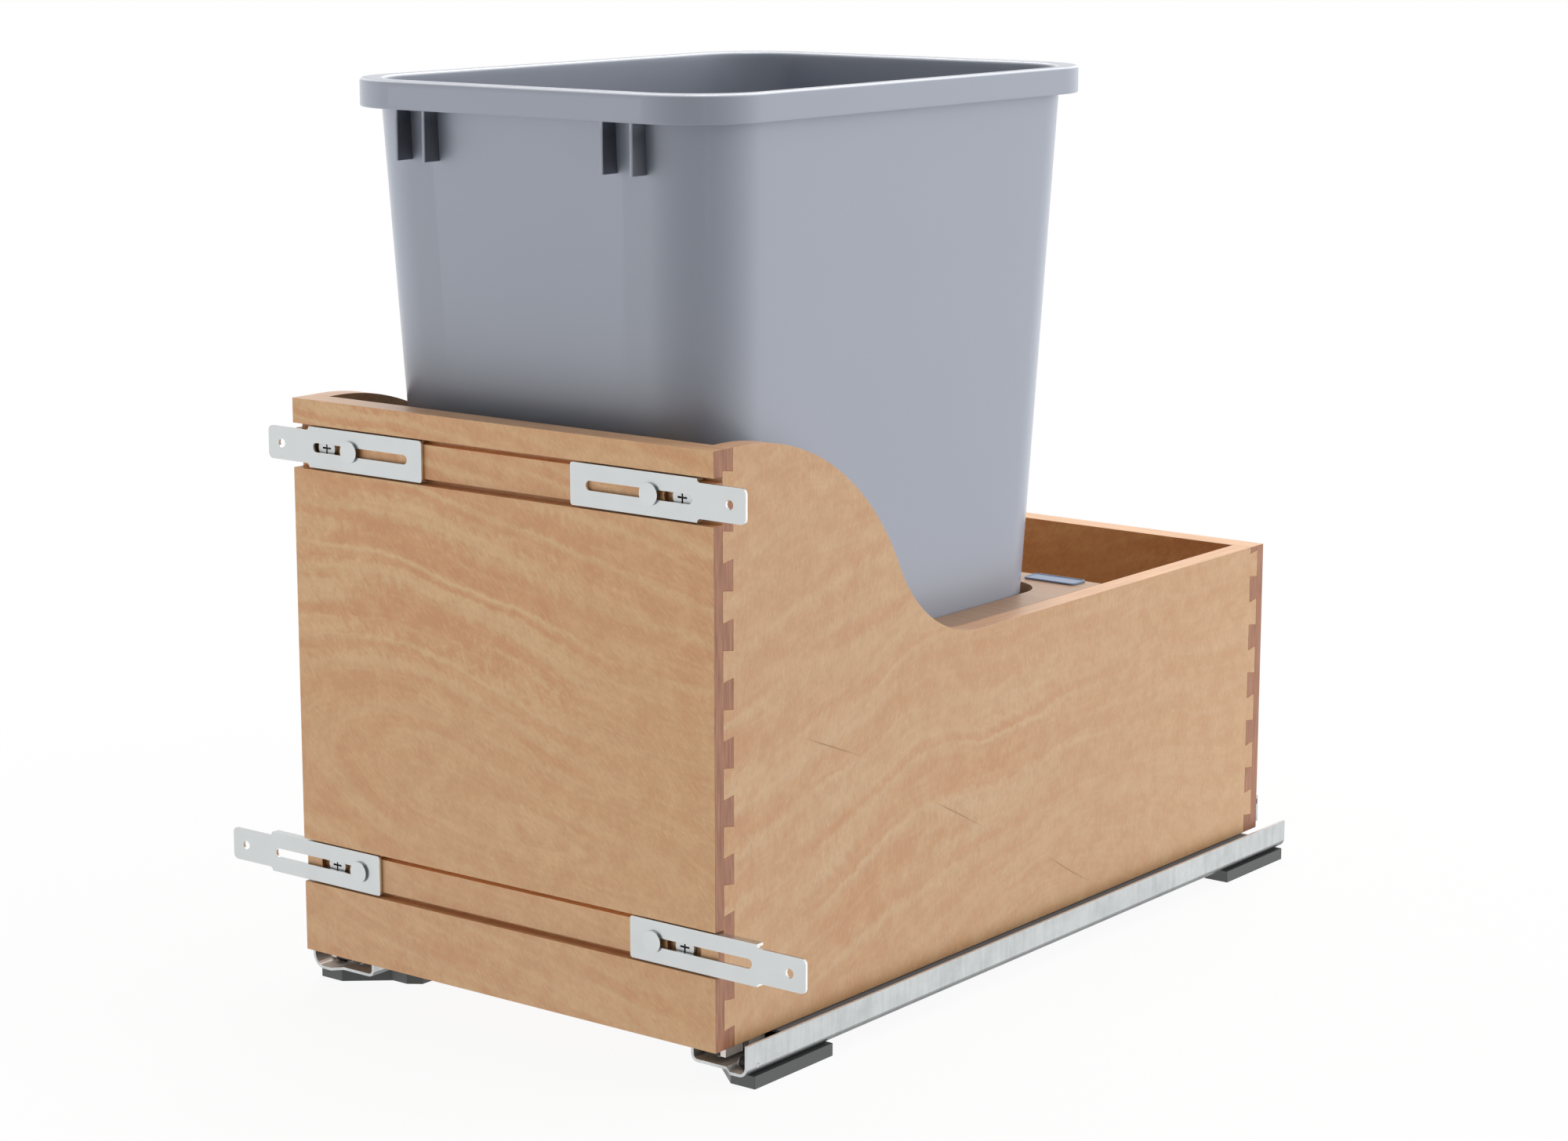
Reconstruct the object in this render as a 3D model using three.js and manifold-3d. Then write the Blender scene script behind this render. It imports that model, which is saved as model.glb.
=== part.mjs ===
// Pull-out waste unit for a kitchen base cabinet.
//
// A dovetailed wooden box with a high front board and low rear part holds one tall plastic bin
// in a shelf cut-out, with an open compartment behind it. The box rides on two undermount
// runners that stand on four plastic floor blocks, and four slotted steel brackets on the front
// board take the cabinet door.
//
// Millimetres. X runs across the unit, Y from the door side (negative) to the back, Z up from
// the cabinet floor. Depths written as "from the front" count from the front board's face.
import * as THREE from 'three';
import { mergeVertices } from 'three/addons/utils/BufferGeometryUtils.js';
import Module from 'manifold-3d';

const wasm = await Module();
wasm.setup();

// ---------------------------------------------------------------------------------------------
// Driving dimensions
// ---------------------------------------------------------------------------------------------

const CLEARANCE = 0.3;            // between pieces that touch or slide past each other
const FIT_GAP = 0.15;             // glue line of the dovetails and the shelf's tongue

// Wooden box
const BOX_WIDTH = 286.5;
const BOX_DEPTH = 533.4;          // 21 inches
const FRONT_HEIGHT = 305;         // 12 inches
const BACK_HEIGHT = 178;          // 7 inches, also the level of the shelf's top
const END_BOARD = 15;             // thickness of the front and back boards
const SIDE_BOARD = 12.5;
const BOX_BOTTOM = 22.5;          // underside of the boards above the cabinet floor
const LAP = 6.7;                  // wood left in front of the half-blind dovetails
const PIN_PITCH = 29.82;
const PIN_WIDE = 16;              // at the board's inner face
const PIN_NARROW = 13.6;          // at the lap
const FIRST_TAIL = 18;            // centre of the lowest tail above the boards' underside
const CREST_RADIUS = 150;         // convex arc at the top of the side board's sweep
const CREST_FROM_FRONT = 22;      // where that arc leaves the side board's top edge
const SWEEP_RADIUS = 85;          // concave arc that runs out on the low edge

const HALF_WIDTH = BOX_WIDTH / 2;
const INNER_X = HALF_WIDTH - SIDE_BOARD;
const FRONT_TOP = BOX_BOTTOM + FRONT_HEIGHT;
const TAIL_WIDE = PIN_PITCH - PIN_NARROW;
const TAIL_NARROW = PIN_PITCH - PIN_WIDE;

// Waste bin
const BIN_TOP = 496;              // rim above the cabinet floor
const BIN_SIDE_GAP = 2.45;        // between the rim and each side board
const BIN_SHIFT = 0.6;            // the bin stands loosely, a little to the right of the middle
const BIN_LENGTH = 355.8;         // of the rim
const BIN_CENTRE = 193;           // from the front
const BIN_CORNER = 40;
const BIN_TAPER = 0.0455;         // per side, per millimetre of height
const BIN_WALL = 2.6;
const RIM_OVERHANG_X = 7.1;       // skirt outside the body, on the long sides
const RIM_OVERHANG_Y = 10.6;      // and on the short sides
const RIM_SKIRT = 14.7;
const RIM_CORNER = 42.7;
const RIM_ROUND = 1.8;
const RIB_PAIR_X = 69.4;          // centre of each pair of ribs under the rim
const RIB_SPACING = 19;
const RIB_THICKNESS = 2;
const RIB_DROP = 26.2;            // below the skirt

const RIM_BOTTOM = BIN_TOP - RIM_SKIRT;
const RIM_HALF_WIDTH = INNER_X - BIN_SIDE_GAP;
const RIM_HALF_DEPTH = BIN_LENGTH / 2;
const BIN_HALF_WIDTH = RIM_HALF_WIDTH - RIM_OVERHANG_X;
const BIN_HALF_DEPTH = RIM_HALF_DEPTH - RIM_OVERHANG_Y;

// Panel under the bin and shelf around it
const PANEL_THICKNESS = 5.8;
const PANEL_RECESS = 12.9;        // panel's underside above the boards' underside
const PANEL_TONGUE = 4.7;         // how far the panel enters its grooves
const SHELF_THICKNESS = 12.5;
const SHELF_BEHIND_BIN = 22.7;    // from the cut-out's rear edge to the shelf's rear edge
const SHELF_TONGUE = 5;           // width and thickness of the tongue on the shelf's sides
const CUTOUT_SIDE_GAP = 0.9;      // around the bin's body, at the shelf's top
const CUTOUT_END_GAP = 1.5;
const CUTOUT_RADIUS = 25;

const PANEL_BOTTOM = BOX_BOTTOM + PANEL_RECESS;
const PANEL_TOP = PANEL_BOTTOM + PANEL_THICKNESS;
const SHELF_TOP = BOX_BOTTOM + BACK_HEIGHT;
const TAPER_AT_SHELF = BIN_TAPER * (RIM_BOTTOM - SHELF_TOP);
const CUTOUT_HALF_WIDTH = BIN_HALF_WIDTH - TAPER_AT_SHELF + CUTOUT_SIDE_GAP;
const CUTOUT_HALF_DEPTH = BIN_HALF_DEPTH - TAPER_AT_SHELF + CUTOUT_END_GAP;
const SHELF_REAR = BIN_CENTRE + CUTOUT_HALF_DEPTH + SHELF_BEHIND_BIN;

// Mounting bands and brackets on the front board
const BAND_CENTRES = { upper: FRONT_TOP - 25.4, lower: BOX_BOTTOM + 50.7 };
const BAND_HEIGHT = 24;
const BAND_WEB_DEPTH = 2.4;       // recess between the two grooves
const BAND_GROOVE_DEPTH = 6.8;
const BAND_GROOVE_HEIGHT = 2.9;
const BRACKET_SHEET = 1.5;
const BRACKET_WIDE = 22;          // height of the bracket's flanged part
const BRACKET_TAB = 17.9;         // height of its plain end
const BRACKET_LENGTH = 111.6;
const BRACKET_TAB_LENGTH = 30.2;
const BRACKET_FLANGE = 5;         // how deep the folded edges reach
const BRACKET_FACE = 0.6;         // front of the sheet behind the front board's face
const BRACKET_END_ROUND = 3;
const BRACKET_INNER_ROUND = 1.5;
const SLOT_START = 10.3;          // from the bracket's inner end
const SLOT_LENGTH = 68;
const SLOT_HEIGHT = 5;
const TAB_HOLE = 2.5;
const TAB_HOLE_INSET = 10;        // from the tab's end
const BRACKET_INNER_X = { upper: HALF_WIDTH - 92.35, lower: HALF_WIDTH - 55.75 };
const STUD_X = HALF_WIDTH - 40.85;
const STUD_DISC = 5.8;
const STUD_DISC_THICKNESS = 1.3;
const STUD_DISC_GAP = 0.1;        // between the disc and the bracket
const STUD_SHANK = 2.2;
const STUD_DEPTH = 13;
const LOCK_X = HALF_WIDTH - 21.95;
const LOCK_HEAD = 6;
const LOCK_FACE = 2.9;            // face of the locking screw behind the front board's face
const LOCK_POCKET = 11;
const LOCK_POCKET_DEPTH = 5.2;
const LOCK_SHANK = 2.5;
const CROSS = { half: 3, halfWidth: 0.5, depth: 1.2 };

// Badge plate on the shelf
const BADGE = {
  x: INNER_X - 26.75, fromFront: SHELF_REAR - 8.8, halfX: 17.5, halfY: 7.2, thickness: 1,
  chamfer: 2.5, gap: 0.1,
};

// Floor blocks
const BLOCK_HEIGHT = 6.9;
const BLOCK_LENGTH = 65.8;
const BLOCK_FRONT = 19.8;         // of the two front blocks, from the front
const BLOCK_REAR_INSET = 2.9;     // rear blocks' rear end in front of the channel's
const BLOCK_BAR = 15.5;           // width of the bar under the channel
const BLOCK_EAR = { reach: 54.5, shoulder: 47.4, bend: 36.7, recess: 18, corner: 5 };
const BLOCK_EAR_HOLE = { reach: 45.4, radius: 2.4 };

// Runners: the places across the unit are taken from the box's side or the channel's outer face
const RUNNER_SHEET = 1.6;
const RUNNER_OUTSIDE = 9.15;      // channel's outer face outside the box's side
const CHANNEL_FRONT = 13.7;       // from the front
const CHANNEL_BEHIND_BOX = 19.7;
const CHANNEL_STEP = 2.3;         // the base steps up towards the middle of the unit
const CHANNEL_INNER_RADIUS = 4;
const CHANNEL_OUTER_X = HALF_WIDTH + RUNNER_OUTSIDE;
const CHANNEL_REAR = BOX_DEPTH + CHANNEL_BEHIND_BOX;
const CHANNEL_BOTTOM = BLOCK_HEIGHT + CLEARANCE;
const OUTER_FLANGE_TOP = BOX_BOTTOM + 1.6;
const INNER_FLANGE_TOP = BOX_BOTTOM - 1;
const CHANNELS = {
  right: {
    side: 1, innerX: HALF_WIDTH - 27.05, outerRadius: 5.5, stepStart: CHANNEL_OUTER_X - 11.3,
    stepRun: 2, screwX: CHANNEL_OUTER_X - 8,
    roller: { fromFront: 22.5, innerX: HALF_WIDTH - 0.95, outerX: HALF_WIDTH + 4.05 },
  },
  left: {
    side: -1, innerX: HALF_WIDTH - 36.85, outerRadius: 8, stepStart: CHANNEL_OUTER_X - 13.2,
    stepRun: 10, screwX: CHANNEL_OUTER_X - 10.6,
    roller: { fromFront: 27, innerX: HALF_WIDTH - 3.75, outerX: HALF_WIDTH + 2.35 },
  },
};
const BLOCK_FRONTS = {
  front: BLOCK_FRONT,
  rear: CHANNEL_REAR - BLOCK_REAR_INSET - BLOCK_LENGTH,
};
const BLOCK_SCREW_DEPTHS = { front: BLOCK_FRONTS.front + 53, rear: BLOCK_FRONTS.rear + 12 };
const UPPER_BASE_TOP = CHANNEL_BOTTOM + CHANNEL_STEP + RUNNER_SHEET;
const MID_RAIL = {
  front: 49, rear: BOX_DEPTH - 16.4, innerX: HALF_WIDTH - 23.85,
  outerX: CHANNEL_OUTER_X - RUNNER_SHEET - 1.6, top: BOX_BOTTOM - 0.5,
  innerBottom: BOX_BOTTOM - 9.5, footBottom: BOX_BOTTOM - 6.9, foot: 7.2,
};
const DRAWER_RAIL = {
  front: 15.5, rear: BOX_DEPTH - END_BOARD - 3.4,
  innerX: HALF_WIDTH - 29.25, outerX: HALF_WIDTH - 12.85,
};
const CRADLE = {
  front: 14, rear: 46, innerX: HALF_WIDTH - 24.85, outerX: HALF_WIDTH - 4.85, thickness: 1.6,
  hem: 3.4, hemBottom: BOX_BOTTOM - 6.9, notchFront: 28, notchRear: 33,
};
const LOWER_CARRIAGE = {
  front: 185, rear: 380, innerX: HALF_WIDTH - 19.25, outerX: HALF_WIDTH - 3.25,
};
const UPPER_CARRIAGE = {
  front: 195, rear: 380,
  innerX: DRAWER_RAIL.innerX + RUNNER_SHEET + 0.4, outerX: DRAWER_RAIL.outerX - RUNNER_SHEET - 0.4,
};
const CAGE_INSET = 0.8;           // rollers stand proud of their cage
const ROLLER_PITCH = 38;
const ROLLER = { radius: 3.1, bore: 1.3, pin: 1.2, pinHead: 1.9 };
const END_CAP = {
  front: 14.5, rear: 44, innerX: HALF_WIDTH - 18.25, outerX: HALF_WIDTH - 9.25,
  bottom: BOX_BOTTOM - 7.2,
};
const STOP_TAB = {
  fromFront: 50.5, innerX: HALF_WIDTH - 21.25, outerX: HALF_WIDTH - 14.75, top: BOX_BOTTOM - 3.1,
};
const PILOT_HOLE = { x: HALF_WIDTH - 17.25, fromFront: 24.5, radius: 1.3 };

// Soft-close units beside the channels
const DAMPER_REAR = CHANNEL_REAR - 13.1;
const DAMPER = {
  front: DAMPER_REAR - 210, rear: DAMPER_REAR, width: 14, bottom: BLOCK_HEIGHT + 2.9,
  top: BOX_BOTTOM - 1.2, wall: 1.5,
};
const CYLINDER = {
  front: DAMPER_REAR - 108, rear: DAMPER_REAR - 6, radius: 4, bore: 1.8, closedEnd: 12,
};
const CATCH = {
  front: DAMPER.front + 50, rear: DAMPER.front + 66, top: BOX_BOTTOM - 3,
  toothTop: BOX_BOTTOM - 0.4, toothHalfWidth: 2.5, toothLength: 5, rod: 1.5, rodInCylinder: 60,
};

// Locking clips behind the front board, and hook plates on the back board
const CLIP = {
  innerX: HALF_WIDTH - 51.25, outerX: DRAWER_RAIL.innerX - 0.4, front: END_BOARD + 0.4, rear: 70,
  bottom: BOX_BOTTOM + 2,
};
const CLIP_SCREW = { x: CLIP.outerX - 4.1, fromFront: 40, length: 15.5 };
const LEVER = {
  x: CLIP.innerX + 8, pivot: 60, front: 20, halfWidth: 6, bottom: CLIP.bottom - 5.3, pin: 2,
};
const HOOK_PLATE = {
  innerX: HALF_WIDTH - 27.25, outerX: HALF_WIDTH - 1.25, bottom: BOX_BOTTOM + 3.1,
  top: BOX_BOTTOM + 19.3, thickness: 3.6,
};
const HOOK = {
  innerX: HALF_WIDTH - 25.25, outerX: HALF_WIDTH - 17.25, bottom: BOX_BOTTOM + 4.5,
  top: BOX_BOTTOM + 8.5, gap: 0.4,
};
const HOOK_SCREW = { x: HALF_WIDTH - 9.25, z: BOX_BOTTOM + 7, shank: 1.6, head: 3.2, length: 13 };

// The front board's face, with the unit's whole depth centred on Y = 0
const FRONT_Y = -(CHANNEL_REAR - (STUD_DISC_THICKNESS + STUD_DISC_GAP - BRACKET_FACE)) / 2;

// ---------------------------------------------------------------------------------------------
// Geometry helpers
// ---------------------------------------------------------------------------------------------

const fromFront = (depth) => FRONT_Y + depth;

/** A block between two corners, given as [low, high] along each axis. */
function block([x0, x1], [y0, y1], [z0, z1]) {
  const geometry = new THREE.BoxGeometry(Math.abs(x1 - x0), Math.abs(y1 - y0), Math.abs(z1 - z0));
  return geometry.translate((x0 + x1) / 2, (y0 + y1) / 2, (z0 + z1) / 2);
}

/** Extrudes an outline drawn in (Y, Z) along X. */
function alongX(shape, x0, x1, curveSegments = 8) {
  const settings = { depth: x1 - x0, bevelEnabled: false, curveSegments };
  const turn = new THREE.Matrix4().set(0, 0, 1, x0, 1, 0, 0, 0, 0, 1, 0, 0, 0, 0, 0, 1);
  return new THREE.ExtrudeGeometry(shape, settings).applyMatrix4(turn);
}

/** Extrudes an outline drawn in (X, Z) along Y. */
function alongY(shape, y0, y1, curveSegments = 8) {
  const settings = { depth: y1 - y0, bevelEnabled: false, curveSegments };
  return new THREE.ExtrudeGeometry(shape, settings).rotateX(Math.PI / 2).translate(0, y1, 0);
}

/** Extrudes an outline drawn in (X, Y) along Z. */
function alongZ(shape, z0, z1, curveSegments = 8) {
  const settings = { depth: z1 - z0, bevelEnabled: false, curveSegments };
  return new THREE.ExtrudeGeometry(shape, settings).translate(0, 0, z0);
}

/** A cylinder along 'x', 'y' or 'z' from one end to the other, centred at the other two values. */
function rod(axis, radius, from, to, centre, sides = 24) {
  const geometry = new THREE.CylinderGeometry(radius, radius, to - from, sides);
  const middle = (from + to) / 2;
  if (axis === 'x') return geometry.rotateZ(Math.PI / 2).translate(middle, ...centre);
  if (axis === 'y') return geometry.translate(centre[0], middle, centre[1]);
  return geometry.rotateX(Math.PI / 2).translate(...centre, middle);
}

/** Turns a closed geometry into a solid that can be cut and joined. */
function solid(geometry) {
  const bare = geometry.clone();
  bare.deleteAttribute('normal');
  bare.deleteAttribute('uv');
  const merged = mergeVertices(bare, 1e-4);
  return new wasm.Manifold(new wasm.Mesh({
    numProp: 3,
    vertProperties: new Float32Array(merged.attributes.position.array),
    triVerts: new Uint32Array(merged.index.array),
  }));
}

/** The geometry of a solid. */
function surface(body) {
  const { vertProperties, triVerts } = body.getMesh();
  const geometry = new THREE.BufferGeometry();
  geometry.setAttribute('position', new THREE.BufferAttribute(new Float32Array(vertProperties), 3));
  geometry.setIndex(new THREE.BufferAttribute(new Uint32Array(triVerts), 1));
  geometry.computeVertexNormals();
  return geometry;
}

function joined(geometries) {
  return geometries.map(solid).reduce((whole, piece) => whole.add(piece));
}

function cut(body, geometries) {
  return geometries.map(solid).reduce((rest, piece) => rest.subtract(piece), body);
}

function polygon(points) {
  return new THREE.Shape(points.map(([u, v]) => new THREE.Vector2(u, v)));
}

/** A rectangle with round corners about a centre. */
function roundedRectangle(cx, cy, halfX, halfY, radius) {
  const shape = new THREE.Shape();
  const corners = [[1, -1, -90], [1, 1, 0], [-1, 1, 90], [-1, -1, 180]];
  for (const [sx, sy, start] of corners) {
    const x = cx + sx * (halfX - radius);
    const y = cy + sy * (halfY - radius);
    const from = THREE.MathUtils.degToRad(start);
    shape.absarc(x, y, radius, from, from + Math.PI / 2, false);
  }
  return shape;
}

/** Mirrors a geometry across the unit's middle plane when the side is -1. */
function mirrored(geometry, side) {
  if (side > 0) return geometry;
  const copy = geometry.index ? geometry.toNonIndexed() : geometry.clone();
  const position = copy.attributes.position;
  for (let i = 0; i < position.count; i += 3) {
    const triangle = [0, 1, 2].map((k) => new THREE.Vector3().fromBufferAttribute(position, i + k));
    [triangle[0], triangle[2], triangle[1]].forEach((p, k) => {
      position.setXYZ(i + k, -p.x, p.y, p.z);
    });
  }
  copy.computeVertexNormals();
  return copy;
}

const palette = {
  maple: new THREE.MeshStandardMaterial({ color: 0xc9a07a, roughness: 0.5, metalness: 0 }),
  panel: new THREE.MeshStandardMaterial({ color: 0xb98f69, roughness: 0.55, metalness: 0 }),
  grey_plastic: new THREE.MeshStandardMaterial({ color: 0x9ba0aa, roughness: 0.35, metalness: 0 }),
  bracket_steel: new THREE.MeshStandardMaterial({ color: 0xd0d4d6, roughness: 0.4, metalness: 0.8 }),
  galvanised: new THREE.MeshStandardMaterial({ color: 0xc3c8ca, roughness: 0.5, metalness: 0.8 }),
  black_plastic: new THREE.MeshStandardMaterial({ color: 0x4a4c4b, roughness: 0.6, metalness: 0 }),
  badge: new THREE.MeshStandardMaterial({ color: 0xb4c0cd, roughness: 0.3, metalness: 0.9 }),
};

const unit = new THREE.Group();

function addPart(name, geometry, material) {
  const mesh = new THREE.Mesh(geometry, material);
  mesh.name = name;
  unit.add(mesh);
}

// ---------------------------------------------------------------------------------------------
// Wooden box
// ---------------------------------------------------------------------------------------------

/** Centres of the tails that fit a board of the given height, above the boards' underside. */
function tailCentres(height) {
  const centres = [];
  for (let z = FIRST_TAIL; z + TAIL_WIDE / 2 < height; z += PIN_PITCH) centres.push(z);
  return centres;
}

/** Sockets for the tails in an end board. The board's outer face is at `face`, and `inward` is +1
 *  on the front board and -1 on the back board. */
function sockets(face, inward, height) {
  const cutters = [];
  for (const centre of tailCentres(height)) {
    const z = BOX_BOTTOM + centre;
    const wide = TAIL_WIDE / 2 + FIT_GAP;
    const narrow = TAIL_NARROW / 2 + FIT_GAP;
    const lapPlane = face + inward * LAP;
    const innerPlane = face + inward * END_BOARD;
    const beyond = innerPlane + inward * 1;
    const outline = polygon([
      [lapPlane, z - wide], [innerPlane, z - narrow], [beyond, z - narrow],
      [beyond, z + narrow], [innerPlane, z + narrow], [lapPlane, z + wide],
    ]);
    cutters.push(alongX(outline, INNER_X - FIT_GAP, HALF_WIDTH + 1));
    cutters.push(alongX(outline, -HALF_WIDTH - 1, -INNER_X + FIT_GAP));
  }
  return cutters;
}

/** Recessed band across the front board with a deeper groove along its top and bottom edge. */
function mountingBand(centre) {
  const half = BAND_HEIGHT / 2;
  const web = half - BAND_GROOVE_HEIGHT;
  const outside = fromFront(-1);
  const shallow = fromFront(BAND_WEB_DEPTH);
  const deep = fromFront(BAND_GROOVE_DEPTH);
  const outline = polygon([
    [outside, centre - half], [deep, centre - half], [deep, centre - web], [shallow, centre - web],
    [shallow, centre + web], [deep, centre + web], [deep, centre + half], [outside, centre + half],
  ]);
  return alongX(outline, -HALF_WIDTH - 1, HALF_WIDTH + 1);
}

function panelGroove(y0, y1) {
  const z = [PANEL_BOTTOM - 0.2, PANEL_TOP + 0.2];
  return block([-INNER_X, INNER_X], [y0, y1], z);
}

function frontBoard() {
  const board = block([-HALF_WIDTH, HALF_WIDTH], [fromFront(0), fromFront(END_BOARD)],
    [BOX_BOTTOM, BOX_BOTTOM + FRONT_HEIGHT]);
  const cutters = [
    ...sockets(fromFront(0), 1, FRONT_HEIGHT),
    panelGroove(fromFront(END_BOARD - PANEL_TONGUE - 0.3), fromFront(END_BOARD + 1)),
  ];
  const studEnd = fromFront(STUD_DEPTH + CLEARANCE);
  for (const centre of Object.values(BAND_CENTRES)) {
    cutters.push(mountingBand(centre));
    for (const side of [-1, 1]) {
      const stud = [side * STUD_X, centre];
      const lock = [side * LOCK_X, centre];
      cutters.push(rod('y', STUD_SHANK + 0.2, fromFront(1), studEnd, stud, 16));
      cutters.push(rod('y', LOCK_POCKET, fromFront(1), fromFront(LOCK_POCKET_DEPTH), lock, 32));
      cutters.push(rod('y', LOCK_SHANK + 0.2, fromFront(1), studEnd, lock, 16));
    }
  }
  return surface(cut(solid(board), cutters));
}

function backBoard() {
  const face = fromFront(BOX_DEPTH);
  const board = block([-HALF_WIDTH, HALF_WIDTH], [face - END_BOARD, face],
    [BOX_BOTTOM, BOX_BOTTOM + BACK_HEIGHT]);
  const cutters = [
    ...sockets(face, -1, BACK_HEIGHT),
    panelGroove(face - END_BOARD - 1, face - END_BOARD + PANEL_TONGUE + 0.3),
  ];
  for (const side of [-1, 1]) {
    cutters.push(hookHole(side, face - END_BOARD - 1, face + 1));
    cutters.push(rod('y', HOOK_SCREW.shank + 0.2, face - 10, face + 1,
      [side * HOOK_SCREW.x, HOOK_SCREW.z], 12));
  }
  return surface(cut(solid(board), cutters));
}

/** Opening for the drawer rail's rear hook. */
function hookHole(side, y0, y1) {
  const x = [HOOK.innerX - HOOK.gap, HOOK.outerX + HOOK.gap].map((value) => side * value);
  const z = [HOOK.bottom - HOOK.gap, HOOK.top + HOOK.gap];
  return block([Math.min(...x), Math.max(...x)], [y0, y1], z);
}

/** Outline of a side board in (Y, Z): tails at both ends, high crest in front, low rear part. */
function sideOutline() {
  const outline = new THREE.Shape();
  const tip = LAP + 0.2;
  const shoulder = END_BOARD + 0.1;
  const crestCentre = { y: CREST_FROM_FRONT, z: FRONT_TOP - CREST_RADIUS };
  const sweepZ = SHELF_TOP + SWEEP_RADIUS;
  const reach = CREST_RADIUS + SWEEP_RADIUS;
  const rise = sweepZ - crestCentre.z;
  const sweepY = crestCentre.y + Math.sqrt(reach ** 2 - rise ** 2);
  const tilt = Math.atan2(rise, sweepY - crestCentre.y);

  outline.moveTo(fromFront(shoulder), BOX_BOTTOM);
  outline.lineTo(fromFront(BOX_DEPTH - shoulder), BOX_BOTTOM);
  for (const centre of tailCentres(BACK_HEIGHT)) {
    const z = BOX_BOTTOM + centre;
    outline.lineTo(fromFront(BOX_DEPTH - shoulder), z - TAIL_NARROW / 2);
    outline.lineTo(fromFront(BOX_DEPTH - tip), z - TAIL_WIDE / 2);
    outline.lineTo(fromFront(BOX_DEPTH - tip), z + TAIL_WIDE / 2);
    outline.lineTo(fromFront(BOX_DEPTH - shoulder), z + TAIL_NARROW / 2);
  }
  outline.lineTo(fromFront(BOX_DEPTH - shoulder), SHELF_TOP);
  outline.lineTo(fromFront(sweepY), SHELF_TOP);
  outline.absarc(fromFront(sweepY), sweepZ, SWEEP_RADIUS, -Math.PI / 2, -Math.PI + tilt, true);
  outline.absarc(fromFront(crestCentre.y), crestCentre.z, CREST_RADIUS, tilt, Math.PI / 2, false);
  outline.lineTo(fromFront(shoulder), FRONT_TOP);
  for (const centre of tailCentres(FRONT_HEIGHT).reverse()) {
    const z = BOX_BOTTOM + centre;
    outline.lineTo(fromFront(shoulder), z + TAIL_NARROW / 2);
    outline.lineTo(fromFront(tip), z + TAIL_WIDE / 2);
    outline.lineTo(fromFront(tip), z - TAIL_WIDE / 2);
    outline.lineTo(fromFront(shoulder), z - TAIL_NARROW / 2);
  }
  outline.closePath();
  return outline;
}

function sideBoard() {
  const board = alongX(sideOutline(), INNER_X, HALF_WIDTH, 18);
  const grooveDepth = INNER_X + PANEL_TONGUE + 0.3;
  const shelfMiddle = SHELF_TOP - SHELF_THICKNESS / 2;
  return surface(cut(solid(board), [
    block([INNER_X - 1, grooveDepth], [fromFront(10), fromFront(BOX_DEPTH - 10)],
      [PANEL_BOTTOM - 0.2, PANEL_TOP + 0.2]),
    block([INNER_X - 1, INNER_X + SHELF_TONGUE + 0.2], [fromFront(15.6), fromFront(SHELF_REAR + 0.2)],
      [shelfMiddle - SHELF_TONGUE / 2 - FIT_GAP, shelfMiddle + SHELF_TONGUE / 2 + FIT_GAP]),
  ]));
}

function bottomPanel() {
  const halfX = INNER_X + PANEL_TONGUE;
  const front = fromFront(END_BOARD - PANEL_TONGUE);
  const rear = fromFront(BOX_DEPTH - END_BOARD + PANEL_TONGUE);
  const panel = block([-halfX, halfX], [front, rear], [PANEL_BOTTOM, PANEL_TOP]);
  const screwTop = CLIP.bottom - 0.2 + CLIP_SCREW.length + 0.4;
  const holes = [-1, 1].map((side) => rod('z', 1.8, PANEL_BOTTOM - 1, screwTop,
    [side * CLIP_SCREW.x, fromFront(CLIP_SCREW.fromFront)], 12));
  return surface(cut(solid(panel), holes));
}

/** Shelf with the bin's cut-out and a tongue along each side. */
function binShelf() {
  const halfX = INNER_X - 0.2;
  const middle = SHELF_TOP - SHELF_THICKNESS / 2;
  const front = fromFront(END_BOARD + 0.2);
  const rear = fromFront(SHELF_REAR);
  const plate = block([-halfX, halfX], [front, rear], [SHELF_TOP - SHELF_THICKNESS, SHELF_TOP]);
  const tongue = block([-INNER_X - SHELF_TONGUE, INNER_X + SHELF_TONGUE], [front + 1, rear],
    [middle - SHELF_TONGUE / 2, middle + SHELF_TONGUE / 2]);
  const opening = roundedRectangle(0, fromFront(BIN_CENTRE), CUTOUT_HALF_WIDTH,
    CUTOUT_HALF_DEPTH, CUTOUT_RADIUS);
  return surface(cut(joined([plate, tongue]),
    [alongZ(opening, SHELF_TOP - SHELF_THICKNESS - 1, SHELF_TOP + 1, 8)]));
}

function badgePlate() {
  const { x, fromFront: depth, halfX, halfY, thickness, chamfer, gap } = BADGE;
  const y = fromFront(depth);
  const outline = polygon([
    [x - halfX + chamfer, y - halfY], [x + halfX - chamfer, y - halfY],
    [x + halfX, y - halfY + chamfer], [x + halfX, y + halfY - chamfer],
    [x + halfX - chamfer, y + halfY], [x - halfX + chamfer, y + halfY],
    [x - halfX, y + halfY - chamfer], [x - halfX, y - halfY + chamfer],
  ]);
  return alongZ(outline, SHELF_TOP + gap, SHELF_TOP + gap + thickness);
}

addPart('front_board', frontBoard(), palette.maple);
addPart('back_board', backBoard(), palette.maple);
addPart('side_board_right', sideBoard(), palette.maple);
addPart('side_board_left', mirrored(sideBoard(), -1), palette.maple);
addPart('bottom_panel', bottomPanel(), palette.panel);
addPart('bin_shelf', binShelf(), palette.maple);
addPart('badge_plate', badgePlate(), palette.badge);

// ---------------------------------------------------------------------------------------------
// Waste bin
// ---------------------------------------------------------------------------------------------

const BIN_CORNER_STEPS = 6;

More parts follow.
